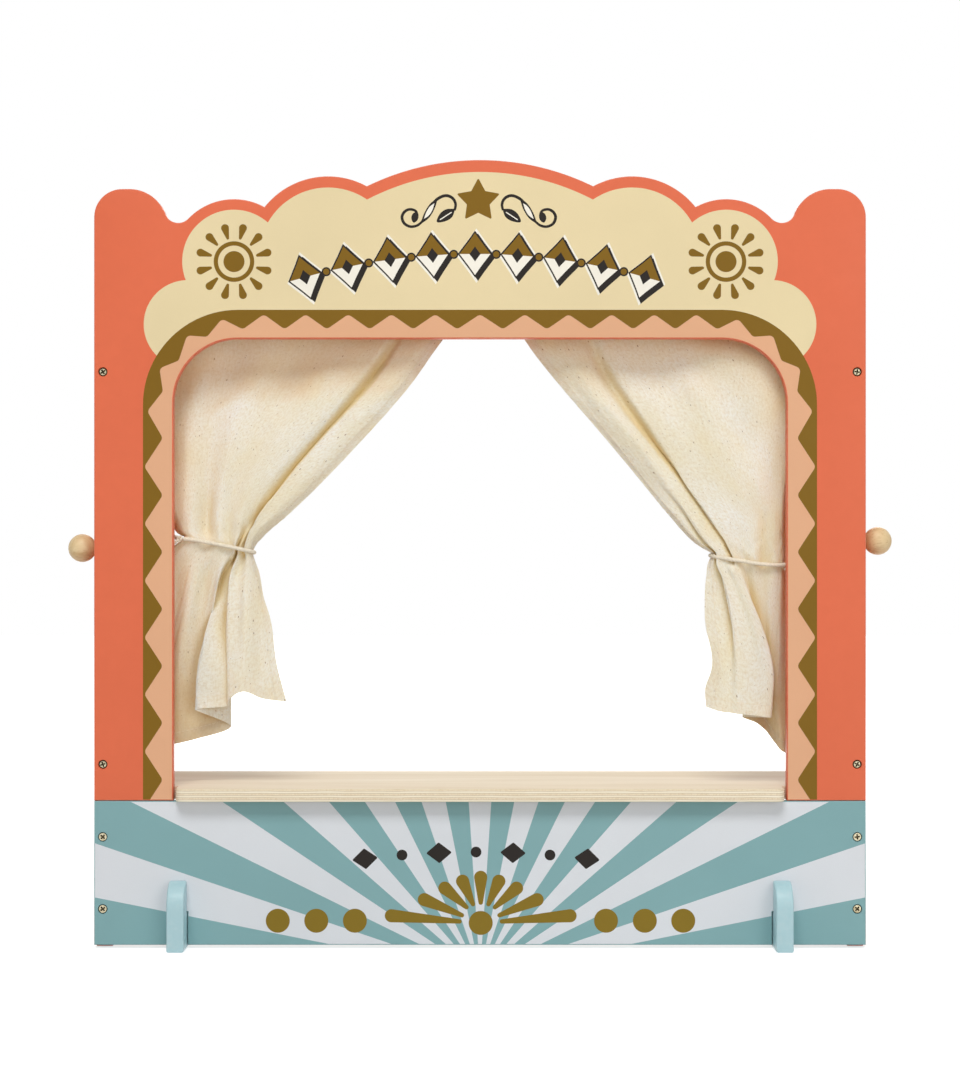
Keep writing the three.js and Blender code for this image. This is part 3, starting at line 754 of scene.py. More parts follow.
def garland():
    """Two-tone lozenges with beads between them, with a dark outline and a drop shadow"""
    cols = [475 + 42.5 * (i - 4) for i in range(9)]
    wide, tall = 15.5, 21.0
    right = [(wide * 0.36, tall * 0.62), (wide, 0), (wide * 0.36, -tall * 0.62)]
    gem = [(-wide, 0), (-wide * 0.36, tall * 0.62), (0, tall), *right, (0, -tall), (-wide * 0.36, -tall * 0.62)]

    def grow(k, dx=0.0, dy=0.0):
        return [(x * k + dx, y * k + dy) for x, y in gem]

    shadows = [("bright", grow(1.3, 1.4, -1.6)), ("dark", grow(1.13, 3.0, -3.2))]
    faces = [("dark", grow(1.12)), ("olive", [p for p in gem if p[1] >= 0]), ("bright", [p for p in gem if p[1] <= 0]),
             ("dark", grow(0.36))]
    regions = [(name, turned_loop(loop, col, *on_arc(col))) for layers in (shadows, faces) for col in cols
               for name, loop in layers]
    for col in ((a + b) / 2 for a, b in zip(cols, cols[1:])):
        row, _ = on_arc(col)
        regions += [("dark", disc(col, row, 4.6, 32)), ("olive", disc(col, row, 3.1, 28))]
    return regions


def header_prints():
    lobes = [disc(233.8, 261.3, 51.6), disc(328, 256.5, 69), disc(187.9, 324.3, 44.2)]
    regions = [("cream", loop) for one in lobes for loop in (one, mirrored(one))]
    regions.append(("cream", disc(480, 417, 245, 240)))
    regions.append(("cream", [pt(c, r) for c, r in ((232, 262), (728, 262), (772, 318), (188, 318))]))
    regions += [("olive", olive_band()), ("peach", zigzag()), *rosette(234, 261.6, 39), *rosette(726, 261.6, 39)]
    regions.append(("olive", star(*pt(478.3, 200.8), 22.9 * PIXEL, 12.0 * PIXEL, 1.0 * PIXEL)))
    return regions + spiral_scroll(-1) + spiral_scroll(1) + garland()


FOOT_GAP = 0.0005
NOTCH_TOP = 0.028


def plinth_outline():
    loop = [(-HALF, PLINTH_LOW)]
    for side in SIDES:
        low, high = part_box(f"foot_{side}")
        a, b = low.x - FOOT_GAP, high.x + FOOT_GAP
        loop += [(a, PLINTH_LOW), (a, NOTCH_TOP), (b, NOTCH_TOP), (b, PLINTH_LOW)]
    return loop + [(HALF, PLINTH_LOW), (HALF, PLINTH_TOP), (-HALF, PLINTH_TOP)]


FAN_MIDDLE = 480.7


def sunburst():
    """White rays on teal from a point below the plinth, with a fan of gold drops and rows of gold discs"""
    centre, far = pt(480, 974), 1.2
    regions = [("teal", [(-HALF, PLINTH_LOW), (HALF, PLINTH_LOW), (HALF, PLINTH_TOP), (-HALF, PLINTH_TOP)])]
    for k in range(-5, 6):
        mid = math.pi / 2 + math.radians(15 * k)
        regions.append(("white", [centre, *(polar(*centre, far, mid + math.radians(by)) for by in (-3.75, 3.75))]))
    fan = [((FAN_MIDDLE, 877.3), (FAN_MIDDLE, 902.6))]
    for head, tail in (((462.6, 881.2), (473, 904.2)), ((444.9, 888.1), (466.5, 907.2)),
                       ((424.3, 899.6), (461.9, 915.2)), ((391.4, 915.7), (459.6, 921.4))):
        fan += [(head, tail), ((2 * FAN_MIDDLE - head[0], head[1]), (2 * FAN_MIDDLE - tail[0], tail[1]))]
    regions += [("gold", drop(pt(*head), pt(*tail), 6.6 * PIXEL, 2.2 * PIXEL)) for head, tail in fan]
    regions.append(("gold", disc(FAN_MIDDLE, 922.9, 12, 64)))
    regions += [("gold", disc(col, 920.7, 12, 64)) for col in (277.8, 316.3, 354.9, 606.0, 644.8, 683.2)]
    lozenge = [(-13, 0), (0, 10.5), (13, 0), (0, -10.5)]
    for i in range(7):
        across = 37.0 * (i - 3)
        col, row = 476 + across, 852 + 0.00055 * across**2
        shape = disc(col, row, 5.4, 40) if i % 2 else rounded(turned_loop(lozenge, col, row, 0.0009 * across),
                                                              1.2 * PIXEL, 3)
        regions.append(("dark", shape))
    return regions


for name, outline, colour, screws, prints in (("proscenium", arch(), "orange", "stage_screw", header_prints()),
                                              ("plinth", plinth_outline(), "teal", "plinth_screw", sunburst())):
    slab(f"{name}_board", outline, BACK_Y - FRONT_Y, PANEL_EDGE, on_front, colour, cups_for(screws),
         slot=f"{colour}_paint", stands_for=f"{name}_panel")
    printed(f"{name}_print", inset(anticlockwise(cleaned(outline)), PANEL_EDGE),
            [circle(u, v, SCREW_HOLE, 48) for u, v, _ in cups_for(screws)], prints, on_front)

# ---------------------------------------------------------------- side boards, shelf, feet

BOARD_EDGE, BOARD_RADIUS = 0.001, 0.02
PEG_CUP, ROD_CUP = [(0.0053, 0.003)], [(0.0063, 0.0073)]
SEAT_GAP = 0.0003                        # between the front and what is notched round it
SHELF_EDGE, NOSE_HALF, NOSE_RADIUS = 0.0006, 0.2358, 0.006
FOOT_EDGE, SLOT_FLOOR = 0.0015, 0.0277


def side_board(side, sign):
    node = f"side_board_{side}"
    low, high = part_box(node)
    outline = [(low.y, low.z), (high.y, low.z),
               *arc(high.y - BOARD_RADIUS, high.z - BOARD_RADIUS, BOARD_RADIUS, 0, math.pi / 2, 18), (low.y, high.z)]
    peg_cup = (ROD.y, middle(f"peg_{side}").z, PEG_CUP)
    slab(f"{node}_board", outline, high.x - low.x, BOARD_EDGE, lambda u, v, depth: (sign * (HALF - depth), u, v),
         "orange", [peg_cup, *cups_for(f"shelf_screw_{side}", 1)], [peg_cup, (ROD.y, ROD.z, ROD_CUP)],
         slot="orange_paint", stands_for=node)


def shelf():
    (wide, back, top), shoulder, r = SHELF_HIGH, BACK_Y + SEAT_GAP, NOSE_RADIUS
    left = [(-wide, back), (-wide, shoulder), (-NOSE_HALF, shoulder),
            *arc(r - NOSE_HALF, SHELF_LOW.y + r, r, math.pi, 1.5 * math.pi, 10)]
    slab("stage_board", left + mirrored(left), top - SHELF_LOW.z, SHELF_EDGE,
         lambda u, v, depth: (u, v, SHELF_LOW.z + depth), "plywood", slot="plywood", stands_for="stage_shelf")


def foot(side):
    node = f"foot_{side}"
    low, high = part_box(node)
    slot_front, slot_back = FRONT_Y - SEAT_GAP, BACK_Y + SEAT_GAP
    r = slot_front - low.y
    outline = [(low.y, low.z), (high.y, low.z), *arc(high.y - r, high.z - r, r, 0, math.pi / 2, 20),
               (slot_back, high.z), (slot_back, SLOT_FLOOR), (slot_front, SLOT_FLOOR), (slot_front, high.z),
               *arc(low.y + r, high.z - r, r, math.pi / 2, math.pi, 20)]
    slab(f"{node}_board", outline, high.x - low.x, FOOT_EDGE, lambda u, v, depth: (low.x + depth, u, v), "blue",
         steps=5, body=f"{side}_foot", slot="blue_paint", stands_for=node)


shelf()
for side, sign in SIDES.items():
    side_board(side, sign)
    foot(side)

# ---------------------------------------------------------------- rod, pegs and screws


def turned(name, profile, sign, z, count, body, node):
    lathe(name, profile, lambda along, a, b: (sign * along, ROD.y + a, z + b), "turned", count, body=body,
          slot="turned_wood", smooth=50, stands_for=node)


ROD_HALF, ROD_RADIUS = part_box("curtain_rod")[1].x, 0.006
turned("curtain_dowel", rounded_profile([(-ROD_HALF, 0), (-ROD_HALF, ROD_RADIUS), (ROD_HALF, ROD_RADIUS),
                                         (ROD_HALF, 0)], 0.001), 1, ROD.z, 48, "rod", "curtain_rod")


def peg(side, sign):
    """A shank with a groove for the cord, and a ball outside the side board"""
    node = f"peg_{side}"
    end, reach = sorted(abs(corner.x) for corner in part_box(node))
    ball, neck, shank, groove = 0.011, 0.0045, 0.005, 0.0042
    ball_x, start = reach - ball, math.pi - math.asin(neck / ball)
    profile = [(end, 0), (end, shank - 0.0008), (end + 0.0008, shank), (end + 0.002, shank), (end + 0.0028, groove),
               (end + 0.0096, groove), (end + 0.0104, shank), (HALF, shank), (HALF, neck),
               (ball_x + ball * math.cos(start), neck)]
    profile = [*rounded_profile(profile, 0.0006, 3), *arc(ball_x, 0, ball, start, 0, 40)[1:-1], (reach, 0)]
    turned(f"{node}_turned", profile, sign, middle(node).z, 64, "root", node)


for side, sign in SIDES.items():
    peg(side, sign)


def screw_mesh(flat):
    """A countersunk screw with a cross recess, along +X from the middle of its head. flat is the face's share of
    the head's radius; the ring outside it is a bevel, and it and the cross recess are dark zinc as painted shade."""
    head, shank, rim, cone, length = 0.00335, 0.00175, 0.0006, 0.0024, 0.0265
    profile = [(0.0001, 0), (0, head * (flat - 0.08)), (0.00006, head * flat), (rim - 0.0001, head), (rim, head),
               (cone, shank), (length - 0.004, shank), (length, 0)]
    blank = lathe("screw_blank", profile, lambda *at: at, "zinc", 48, body=None, smooth=None)
    bm = bmesh.new()
    rows = [[bm.verts.new((x, a * c - b * d, a * d + b * c)) for c, d in ((1, 0), (0, 1), (-1, 0), (0, -1))
             for a, b in ((wing, -slot), (wing, slot), (slot, slot))]
            for wing, slot, x in ((0.0021, 0.0006, -0.001), (0.0021, 0.0006, 0.0), (0.0012, 0.00045, 0.0021))]
    skin(bm, rows)
    bm.faces.new(rows[0][::-1])
    bm.faces.new(rows[-1])
    bmesh.ops.recalc_face_normals(bm, faces=bm.faces)
    cutter = placed("recess", from_bmesh("recess", bm))
    mod = blank.modifiers.new("recess", "BOOLEAN")
    mod.operation, mod.object, mod.solver = "DIFFERENCE", cutter, "EXACT"
    mesh = bpy.data.meshes.new_from_object(blank.evaluated_get(bpy.context.evaluated_depsgraph_get()))
    # the cross recess and the bevel ring round the head's face take the dark zinc as painted shade
    mesh.materials.append(MATS["recess"])
    for face in mesh.polygons:
        away = math.hypot(face.center.y, face.center.z)
        if 0.00015 < face.center.x < 0.0023 and (away < 0.0022 or away > head * flat and face.center.x < rim):
            face.material_index = 1
    smoothed(mesh, 30)
    bpy.data.objects.remove(blank)
    bpy.data.objects.remove(cutter)
    return mesh


# Each kind's mesh, and how deep its head sits under the face
SCREW_KINDS = {"stage": (screw_mesh(0.72), 0.0010), "plinth": (screw_mesh(0.88), 0.0003)}
SCREW_KINDS["shelf"] = SCREW_KINDS["plinth"]
TURNS = random.Random(11)
for node in SCREWS:
    (low, high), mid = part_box(node), middle(node)
    spin = Matrix.Rotation(TURNS.uniform(0, math.pi / 2), 4, "X")
    if high.y - low.y > high.x - low.x:
        turn, head = math.pi / 2, (mid.x, low.y, mid.z)
    elif low.x < 0:
        turn, head = 0.0, (low.x, mid.y, mid.z)
    else:
        turn, head = math.pi, (high.x, mid.y, mid.z)
    mesh, sunk = SCREW_KINDS[node.split("_")[0]]
    mesh = mesh.copy()
    mesh.transform(Matrix.Translation(head) @ Matrix.Rotation(turn, 4, "Z") @ Matrix.Translation((sunk, 0, 0)) @ spin)
    new_object(f"{node}_head", mesh, [], slot="zinc", smooth=None, stands_for=node)

# ---------------------------------------------------------------- tieback cords

# Depths here are measured from the rod's axis, in mm. Each cord leaves its knot, goes round the curtain's waist,
# back behind it, round the groove of its peg and home to the knot.
TIEBACKS = {
    "left": {
        "knot": (-236.0, -12.2, 318.4),
        "route": [
            (-232.6, -11.4, 318.1), (-226, -11.2, 317.4), (-213, -11.1, 315.2), (-199, -11.1, 312.4),
            (-191.5, -11.2, 310.9), (-186, -10.8, 309.7), (-181.6, -8.2, 308.6), (-179.0, -4.0, 307.9),
            (-178.2, 0.8, 307.5), (-180.0, 5.6, 307.4), (-184.5, 8.8, 307.8), (-191.5, 10.4, 309.0),
            (-200, 11.2, 310.8), (-213, 11.1, 313.3), (-225, 10.4, 315), (-233.6, 8.4, 316.6),
            (-239.2, 3.3, 318.4), (-241.2, -3.7, 320.2), (-243.4, -8.6, 322.2), (-248.4, -10.6, 322.8),
            (-256, -9.5, 321.6), (-266, -6.9, 319.6), (-272.4, -4.5, 318), (-276.6, -1.6, 316.8),
            (-277.3, 3.1, 316.2), (-278, 5.9, 312.5), (-278.7, 5.3, 307.9), (-279.3, 1.5, 305),
            (-279.8, -3.1, 305.6), (-278.4, -6.3, 307.4), (-270, -9.7, 308.2), (-260, -11.9, 309.2),
            (-250, -13.4, 311.2), (-242.6, -14.4, 314.0), (-238.6, -14.2, 316.2)],
    },
    "right": {
        "knot": (246.2, -11.8, 299.4),
        "route": [
            (241.8, -11.1, 298), (232, -11.1, 297.6), (219, -11.1, 298.6), (206, -11.1, 300.6),
            (199, -11.1, 301.7), (193.6, -10.9, 302.6), (188.6, -9.4, 303.5), (184.6, -6.4, 304.3),
            (182.4, -2.6, 304.8), (181.9, 1.2, 305), (183.6, 5.2, 304.8), (187.6, 8.4, 304.1),
            (195, 10.5, 303), (208, 11.2, 301), (221, 11.1, 299.6), (233, 10.4, 298.8), (242.8, 8.4, 298.6),
            (249, 3.3, 299), (250, -3.7, 300), (249.8, -9.1, 301.8), (253.4, -11.1, 305.4), (259.6, -9.7, 311),
            (266.6, -7.1, 317.8), (272.4, -4.7, 322), (276.6, -1.6, 322.4), (277.3, 3.1, 321.8),
            (278, 5.9, 318.1), (278.7, 5.3, 313.5), (279.3, 1.5, 310.6), (279.8, -3.1, 311.2),
            (278.4, -6.3, 313.2), (270.4, -9.7, 311), (262, -12.1, 306.8), (254, -13.9, 302.6),
            (249.4, -14.5, 299.8), (246, -14.4, 298.4)],
    },
}
CORD_RADIUS, CORD_STEP = 0.0016, 0.0007


def from_rod(points):
    """The frame's points for those measured from the rod, in mm"""
    return np.array(points, float) * MM + (0, ROD.y, 0)


def unit(vectors):
    return vectors / np.maximum(np.linalg.norm(vectors, axis=-1, keepdims=True), 1e-12)


def sampled(at, run, points):
    """Points of a path at the given distances along it"""
    return np.stack([np.interp(at, run, values) for values in points.T], 1)


def evenly(path, gap):
    run = lengths_along(path)
    return sampled(np.linspace(0, run[-1], max(8, int(run[-1] / gap))), run, path)


def tube_faces(rings, sides, base=0):
    """Faces of a closed tube whose vertices come ring by ring"""
    faces = []
    for at in range(base, base + (rings - 1) * sides, sides):
        for k in range(sides):
            m = (k + 1) % sides
            faces.append((at + k, at + m, at + sides + m, at + sides + k))
    last = base + (rings - 1) * sides
    return [*faces, tuple(range(base, base + sides))[::-1], tuple(range(last, last + sides))]


def twisted_tube(name, path, radius, lay=0.0085):
    """A laid cord: three strands bulge from its round section and turn along it"""
    strands, sides = 3, 15
    p = np.array(path, float)
    run = lengths_along(p)
    tangent = unit(np.gradient(p, run, axis=0))
    ref = unit(np.cross(tangent[0], (0.3, 0.2, 0.93)))
    verts = []
    for centre, ahead, at in zip(p, tangent, run):
        ref = unit(ref - ahead * (ref @ ahead))
        other = np.cross(ahead, ref)
        for w in (2 * math.pi * k / sides for k in range(sides)):
            bulge = abs(math.cos(strands * (w - 2 * math.pi * at / lay) / 2))
            r = radius * (0.76 + 0.28 * bulge**0.8)
            verts.append(centre + r * (math.cos(w) * ref + math.sin(w) * other))
    mesh = mesh_of(name, pairs(verts), tube_faces(len(p), sides))
    return new_object(name, mesh, ["cotton"], slot="cotton_cord", smooth=80), run[-1]


def tieback(side, spec):
    path = evenly(flowing(from_rod(spec["route"])), CORD_STEP)
    cord, length = twisted_tube(f"tieback_{side}_cord", path, CORD_RADIUS)
    knot = from_rod(spec["knot"])
    t = np.linspace(0, 2 * math.pi, 90)[:-1]
    trefoil = np.stack([np.sin(t) + 2 * np.sin(2 * t), -0.9 * np.sin(3 * t), np.cos(t) - 2 * np.cos(2 * t)], 1)
    loop = knot + trefoil * 0.00078 * np.array([1.0, 1.2, 0.85])
    pieces = [twisted_tube(f"tieback_{side}_knot", np.vstack([loop, loop[:1]]), 0.00105, 0.006)[0]]
    for i, s in enumerate((-1, 1), 1):
        end = flowing(knot + [(-0.0004, 0.0004 * s, -0.0006), (-0.0022, 0.0014 * s, -0.0026),
                              (-0.0046, 0.0026 * s, -0.0042), (-0.0072, 0.0042 * s, -0.0052)], 10)
        pieces.append(twisted_tube(f"tieback_{side}_tail_{i}", end, 0.0011)[0])
    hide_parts(f"tieback_{side}")


for side, spec in TIEBACKS.items():
    tieback(side, spec)

# ---------------------------------------------------------------- curtains

SEAM_ROW = 331.0
# Where folds run. Cuts are distances on the cloth from its outer edge, mm. Each level gives its place, the photo
# column of every cut, and every cut's depth behind the rod's axis, mm. A level's place is a photo row above the cord
# and a share of the way from the cord to the hem below it. The tie is a photo point on the cord and its slope.
CURTAINS = {
    "left": {
        "cuts": [0, 15, 42, 69, 96, 123, 150, 184, 210, 219, 227, 233, 249, 266],
        "flat": (266, 345),
        "tie": (175, 537.5, 0.189),
        "upper": [
            (331, [117.5, 136.2, 169.9, 203.6, 237.3, 271, 304.7, 347.2, 379.6, 390.9, 400.9, 408.4, 428.3, 449.5],
             [0, -1.2, 1, -1, 1.2, -1, 0.8, -1, -1.5, -1, 2.2, -0.5, -1.5, -0.5]),
            (356, [119.5, 137.5, 169, 201, 232.5, 264, 295.5, 334, 365, 376, 387, 395, 412, 431],
             [1, 0, 2.5, 0.5, 3.5, 0, 2, -3, -6.5, -6.5, 0.5, -6, -7, -3]),
            (385, [122, 139, 168, 197, 225, 253, 281, 316, 344, 355, 366.5, 374, 391, 410],
             [1.5, -2, 2, -1, 3, -1, 1, -5, -7.5, -7, 1, -6.5, -8, -3]),
            (438, [132, 146, 167, 190, 213, 233, 254, 281, 304, 312, 320, 323.5, 342, 363.5],
             [4.5, -3.5, 0.5, -4.5, 0, -4, -3, -6.5, -7.5, -5.5, 0, -6.5, -8.5, -3]),
            (490, [156, 164, 175, 190, 208, 222, 234, 250, 264.5, 270, 277.5, 279, 295, 313.5],
             [7, -2.5, -4.5, -7, -1, -6.5, -4.5, -7.5, -6, -4, -0.5, -7.2, -8.5, -2.5]),
            (520, [171, 176.5, 183, 192, 207, 219, 229, 240, 250, 254, 259, 256.5, 267, 281],
             [8.5, -3, -6.8, -8.5, 0.5, -7.5, -5, -8.5, -5, -3, 0, -8, -8, -1]),
            (531, [175, 179.5, 185.5, 193, 207, 220, 229, 239, 245.5, 248.5, 253, 250.5, 257.5, 267],
             [9, -2, -7.6, -9, -1, -8.5, -5, -9, -4, -5, -1, -8.6, -7.8, 0]),
        ],
        "lower": [
            (0, [187, 183, 186, 195, 207, 219, 229, 235.5, 238, 240, 247, 245.5, 250.3, 252.3],
             [8, 0.5, -7.5, -9.3, -6.8, -9.1, -7, -9.2, -3, -8, -1, -9.2, -6.5, 0.8]),
            (0.04, [178, 172, 174, 187, 201, 214, 227, 234.5, 237.5, 239, 245, 247.5, 251.5, 253.8],
             [9, 2, -7, -8.5, -6.5, -8.8, -7.6, -6, 0, -8.5, -4, -8.5, -7, 0.5]),
            (0.14, [170, 162, 167, 180, 194, 208, 220.5, 223.5, 230.5, 232, 240, 247, 253.5, 259.3],
             [10.5, 2.5, -6, -4.2, -7.5, -4.5, -8.5, 0.5, -2.5, -8, -5, -8.5, -6.5, 0]),
            (0.3, [164, 156, 163, 176, 189, 203, 214.5, 217, 227.5, 230, 240, 246, 256, 263.5],
             [11.5, 3, -5.5, -2.5, -6.5, -1.5, -5.5, 0, -2.5, -8.5, -8.5, -10.5, -7, -1.5]),
            (0.43, [160, 152, 160, 172, 184, 199, 211, 210.5, 226.5, 229, 240, 246, 259, 270],
             [12.5, 3.5, -5.5, -1.5, -6, 0, 1.5, -4.5, -0.5, -9, -9.5, -11.5, -6.5, -2.5]),
            (0.75, [150, 140, 149, 163, 178, 202, 229, 199, 227, 229.5, 240, 246.5, 262, 277],
             [14.5, 4.5, -4.5, 1, -3.5, 3, 5.5, -11.5, -6, -10, -11.5, -12.5, -6.5, -3.5]),
            (1, [146, 134, 143, 158, 174, 199, 229.6, 197, 227.5, 230, 238, 245, 265, 287],
             [15.5, 5.5, -3.5, 5, -1.5, 4.5, 7, -12, -7, -10.5, -12.5, -12.5, -7, -4.5]),
        ],
        "hem": [748, 748, 748, 747, 743.5, 738, 727, 708, 705, 699.5, 692.5, 690.3, 698, 701],
    },
    "right": {
        "cuts": [0, 14, 42, 72, 102, 132, 162, 192, 200, 212, 226, 233, 244, 256],
        "flat": (256, 345),
        "tie": (710, 555, 0.145),
        "upper": [
            (331, [842, 824.3, 789, 751, 713, 675.2, 637.3, 599.4, 589.3, 574, 556.4, 547.5, 533.7, 518.5],
             [0, -1.5, 0.5, -1.3, 0.5, -1.3, 1.2, -1, 0.8, -1, -1.5, 0, -1, 0]),
            (356, [839, 823, 790.5, 754.5, 718, 681, 645.5, 607, 597, 584, 568, 561, 549, 536],
             [-3, -7, -11, -12.5, -11, -5, 1, -1.5, 3, -3, -5, -4, -2, -0.5]),
            (385, [836, 821, 790, 759, 728, 696, 660, 623, 612, 600, 588, 582, 572, 560],
             [-1, -6, -11.5, -12.5, -9.5, -10, -3, -4, 3.5, -4, -7, -6, -3, 0]),
            (438, [824, 810, 786, 764, 741, 716, 689, 657, 651, 643, 633, 626, 616, 606],
             [2, -3, -9.5, -9, -7.5, -11, -10, -6, 1.5, -5, -8.5, -7, -4, 1]),
            (490, [804, 789, 780.5, 771, 756, 739, 718, 688.5, 692, 681, 671, 664, 656.5, 649],
             [8, -1, -8.3, -7.5, -10, -10.5, -9.5, -8.8, -4.5, -6.5, -7.8, -4.5, -2.5, 1]),
            (520, [797, 786, 780, 773, 764, 752, 737, 709.5, 713, 702, 690, 690.5, 682, 674],
             [9, 0.5, -8.3, -9, -7, -9.5, -9, -9.2, -4.5, -6.8, -8.4, -4.8, -4.6, 0]),
            (541, [792, 785.5, 780, 773, 763.5, 752.5, 740.5, 724, 727.5, 715, 704, 704.5, 698.5, 693],
             [9, 1.5, -8, -9.2, -6.5, -9.4, -7.5, -9.3, -4.5, -7.6, -8.8, -4.8, -4.8, 0.3]),
        ],
        "lower": [
            (0, [790, 786, 780, 773, 763, 753, 743, 732.5, 734.5, 724, 716, 718, 714.3, 712.8],
             [9, 2, -7.8, -9.3, -5.5, -9.2, -6, -9.3, -3, -8.8, -9, -3, -5, 1]),
            (0.04, [791, 786.5, 779.5, 772, 763, 753, 744, 735, 731, 723, 715, 716, 712.5, 708.8],
             [9.5, 3, -7.5, -8.5, -6.5, -8, -6, -9.3, -9.5, -9.5, -9.5, -4, -4.8, 0]),
            (0.14, [796, 787.5, 779, 770.5, 763, 755, 748, 741.5, 737, 730, 721, 722.5, 715, 706],
             [11.5, 5, -6, -6.5, -5, -5, -3.5, -10.5, -11, -10, -10.5, -5, -4, -2.5]),
            (0.43, [812, 797, 778, 770.5, 766, 762.5, 752, 760.5, 754, 744, 730, 731, 720, 704.5],
             [15, 11, -3, -3.5, -2, -2.5, 1.5, -11.5, -12.5, -11, -11.5, -6, -5.5, -4.5]),
            (0.75, [818, 806, 779, 773, 765, 757, 747, 772, 766, 755, 736, 730, 722, 711],
             [17, 13, 2.5, 3, 4.5, 3, 6, -11.5, -12.5, -12, -12.5, -9.5, -9.5, -6]),
            (0.88, [821, 809, 781.5, 775, 766.5, 757, 745.5, 771, 764, 753, 736, 729.5, 719.5, 704.5],
             [17.5, 13, 3, 6.5, 9.5, 7, 10, -11, -12.3, -12, -12.5, -10.5, -10, -6]),
            (1, [824, 812, 785, 777, 768, 757, 744.5, 769, 762, 751, 736, 729, 719, 705],
             [18, 13, 3.5, 7, 10, 7.5, 10.5, -10.5, -12, -12, -12.5, -11.5, -11.5, -8]),
        ],
        "hem": [760, 758, 752.5, 744, 732, 723, 718, 716.5, 715.5, 714, 712.5, 711.5, 710.2, 706],
    },
}
COLUMNS, ROWS = 164, 128
WAIST_SHARE = 0.55


def cubic(x, y, at, overshoots):
    """A cubic through the points, smooth or one that never overshoots"""
    h = np.diff(x)
    d = np.diff(y, axis=-1) / h
    a, b = d[..., :-1], d[..., 1:]
    m = np.empty_like(y)
    m[..., 0], m[..., -1] = d[..., 0], d[..., -1]
    if overshoots:
        m[..., 1:-1] = (a * h[1:] + b * h[:-1]) / (h[1:] + h[:-1])
    else:
        w1, w2 = 2 * h[1:] + h[:-1], h[1:] + 2 * h[:-1]
        same = a * b > 0
        m[..., 1:-1] = np.where(same, (w1 + w2) / (w1 / np.where(same, a, 1) + w2 / np.where(same, b, 1)), 0)
    i = np.clip(np.searchsorted(x, at, "right") - 1, 0, len(x) - 2)
    h = x[i + 1] - x[i]
    t = (at - x[i]) / h
    t2, t3 = t * t, t * t * t
    return (y[..., i] * (2 * t3 - 3 * t2 + 1) + m[..., i] * h * (t3 - 2 * t2 + t)
            + y[..., i + 1] * (3 * t2 - 2 * t3) + m[..., i + 1] * h * (t3 - t2))


def draped(spec):
    """The curtain's middle surface from its seam to its hem: rows by columns of points in mm"""
    col, row, slope = spec["tie"]
    waist_rows = row + slope * (np.array(spec["lower"][0][1], float) - col)
    hem = np.array(spec["hem"], float)
    levels, downs = [], []
    drop = waist_rows.mean() - SEAM_ROW
    for at_row, cols, depths in spec["upper"]:
        levels.append([cols, depths, np.full(len(cols), float(at_row))])
        downs.append((at_row - SEAM_ROW) / drop * WAIST_SHARE)
    for share, cols, depths in spec["lower"]:
        levels.append([cols, depths, waist_rows + share * (hem - waist_rows)])
        downs.append(WAIST_SHARE + (1 - WAIST_SHARE) * share)
    cols, depths, rows = np.moveaxis(np.array(levels, float), 1, 0)
    net = np.array([(cols - MIDDLE_PX) * CLOTH_PIXEL, depths + ROD.y / MM,
                    EYE_HEIGHT + (PHOTO_HEIGHT / 2 - rows) * CLOTH_PIXEL])
    curves = cubic(np.array(downs), np.moveaxis(net, 1, -1), np.linspace(0, 1, ROWS + 1), True)
    across = np.linspace(0, spec["flat"][0], COLUMNS + 1)
    return np.moveaxis(cubic(np.array(spec["cuts"], float), np.moveaxis(curves, 1, -1), across, False), 0, -1)


def normals_of(grid):
    return unit(np.cross(np.gradient(grid, axis=1), np.gradient(grid, axis=0)))


def creased(grid, seed):
    """Soft creases a few centimetres long that lean along the cloth"""
    rise = np.array([[noise.fractal((x * 38 + seed, z * 22 + x * 9, 4.0), 0.9, 2.0, 3)
                      for x, z in zip(row[:, 0], row[:, 2])] for row in grid])
    return grid + normals_of(grid) * (rise[..., None] * 0.0005)


def grid_quads(index):
    """Quads between neighbours in a grid of vertex numbers"""
    return np.stack([index[:-1, :-1], index[1:, :-1], index[1:, 1:], index[:-1, 1:]], -1).reshape(-1, 4)


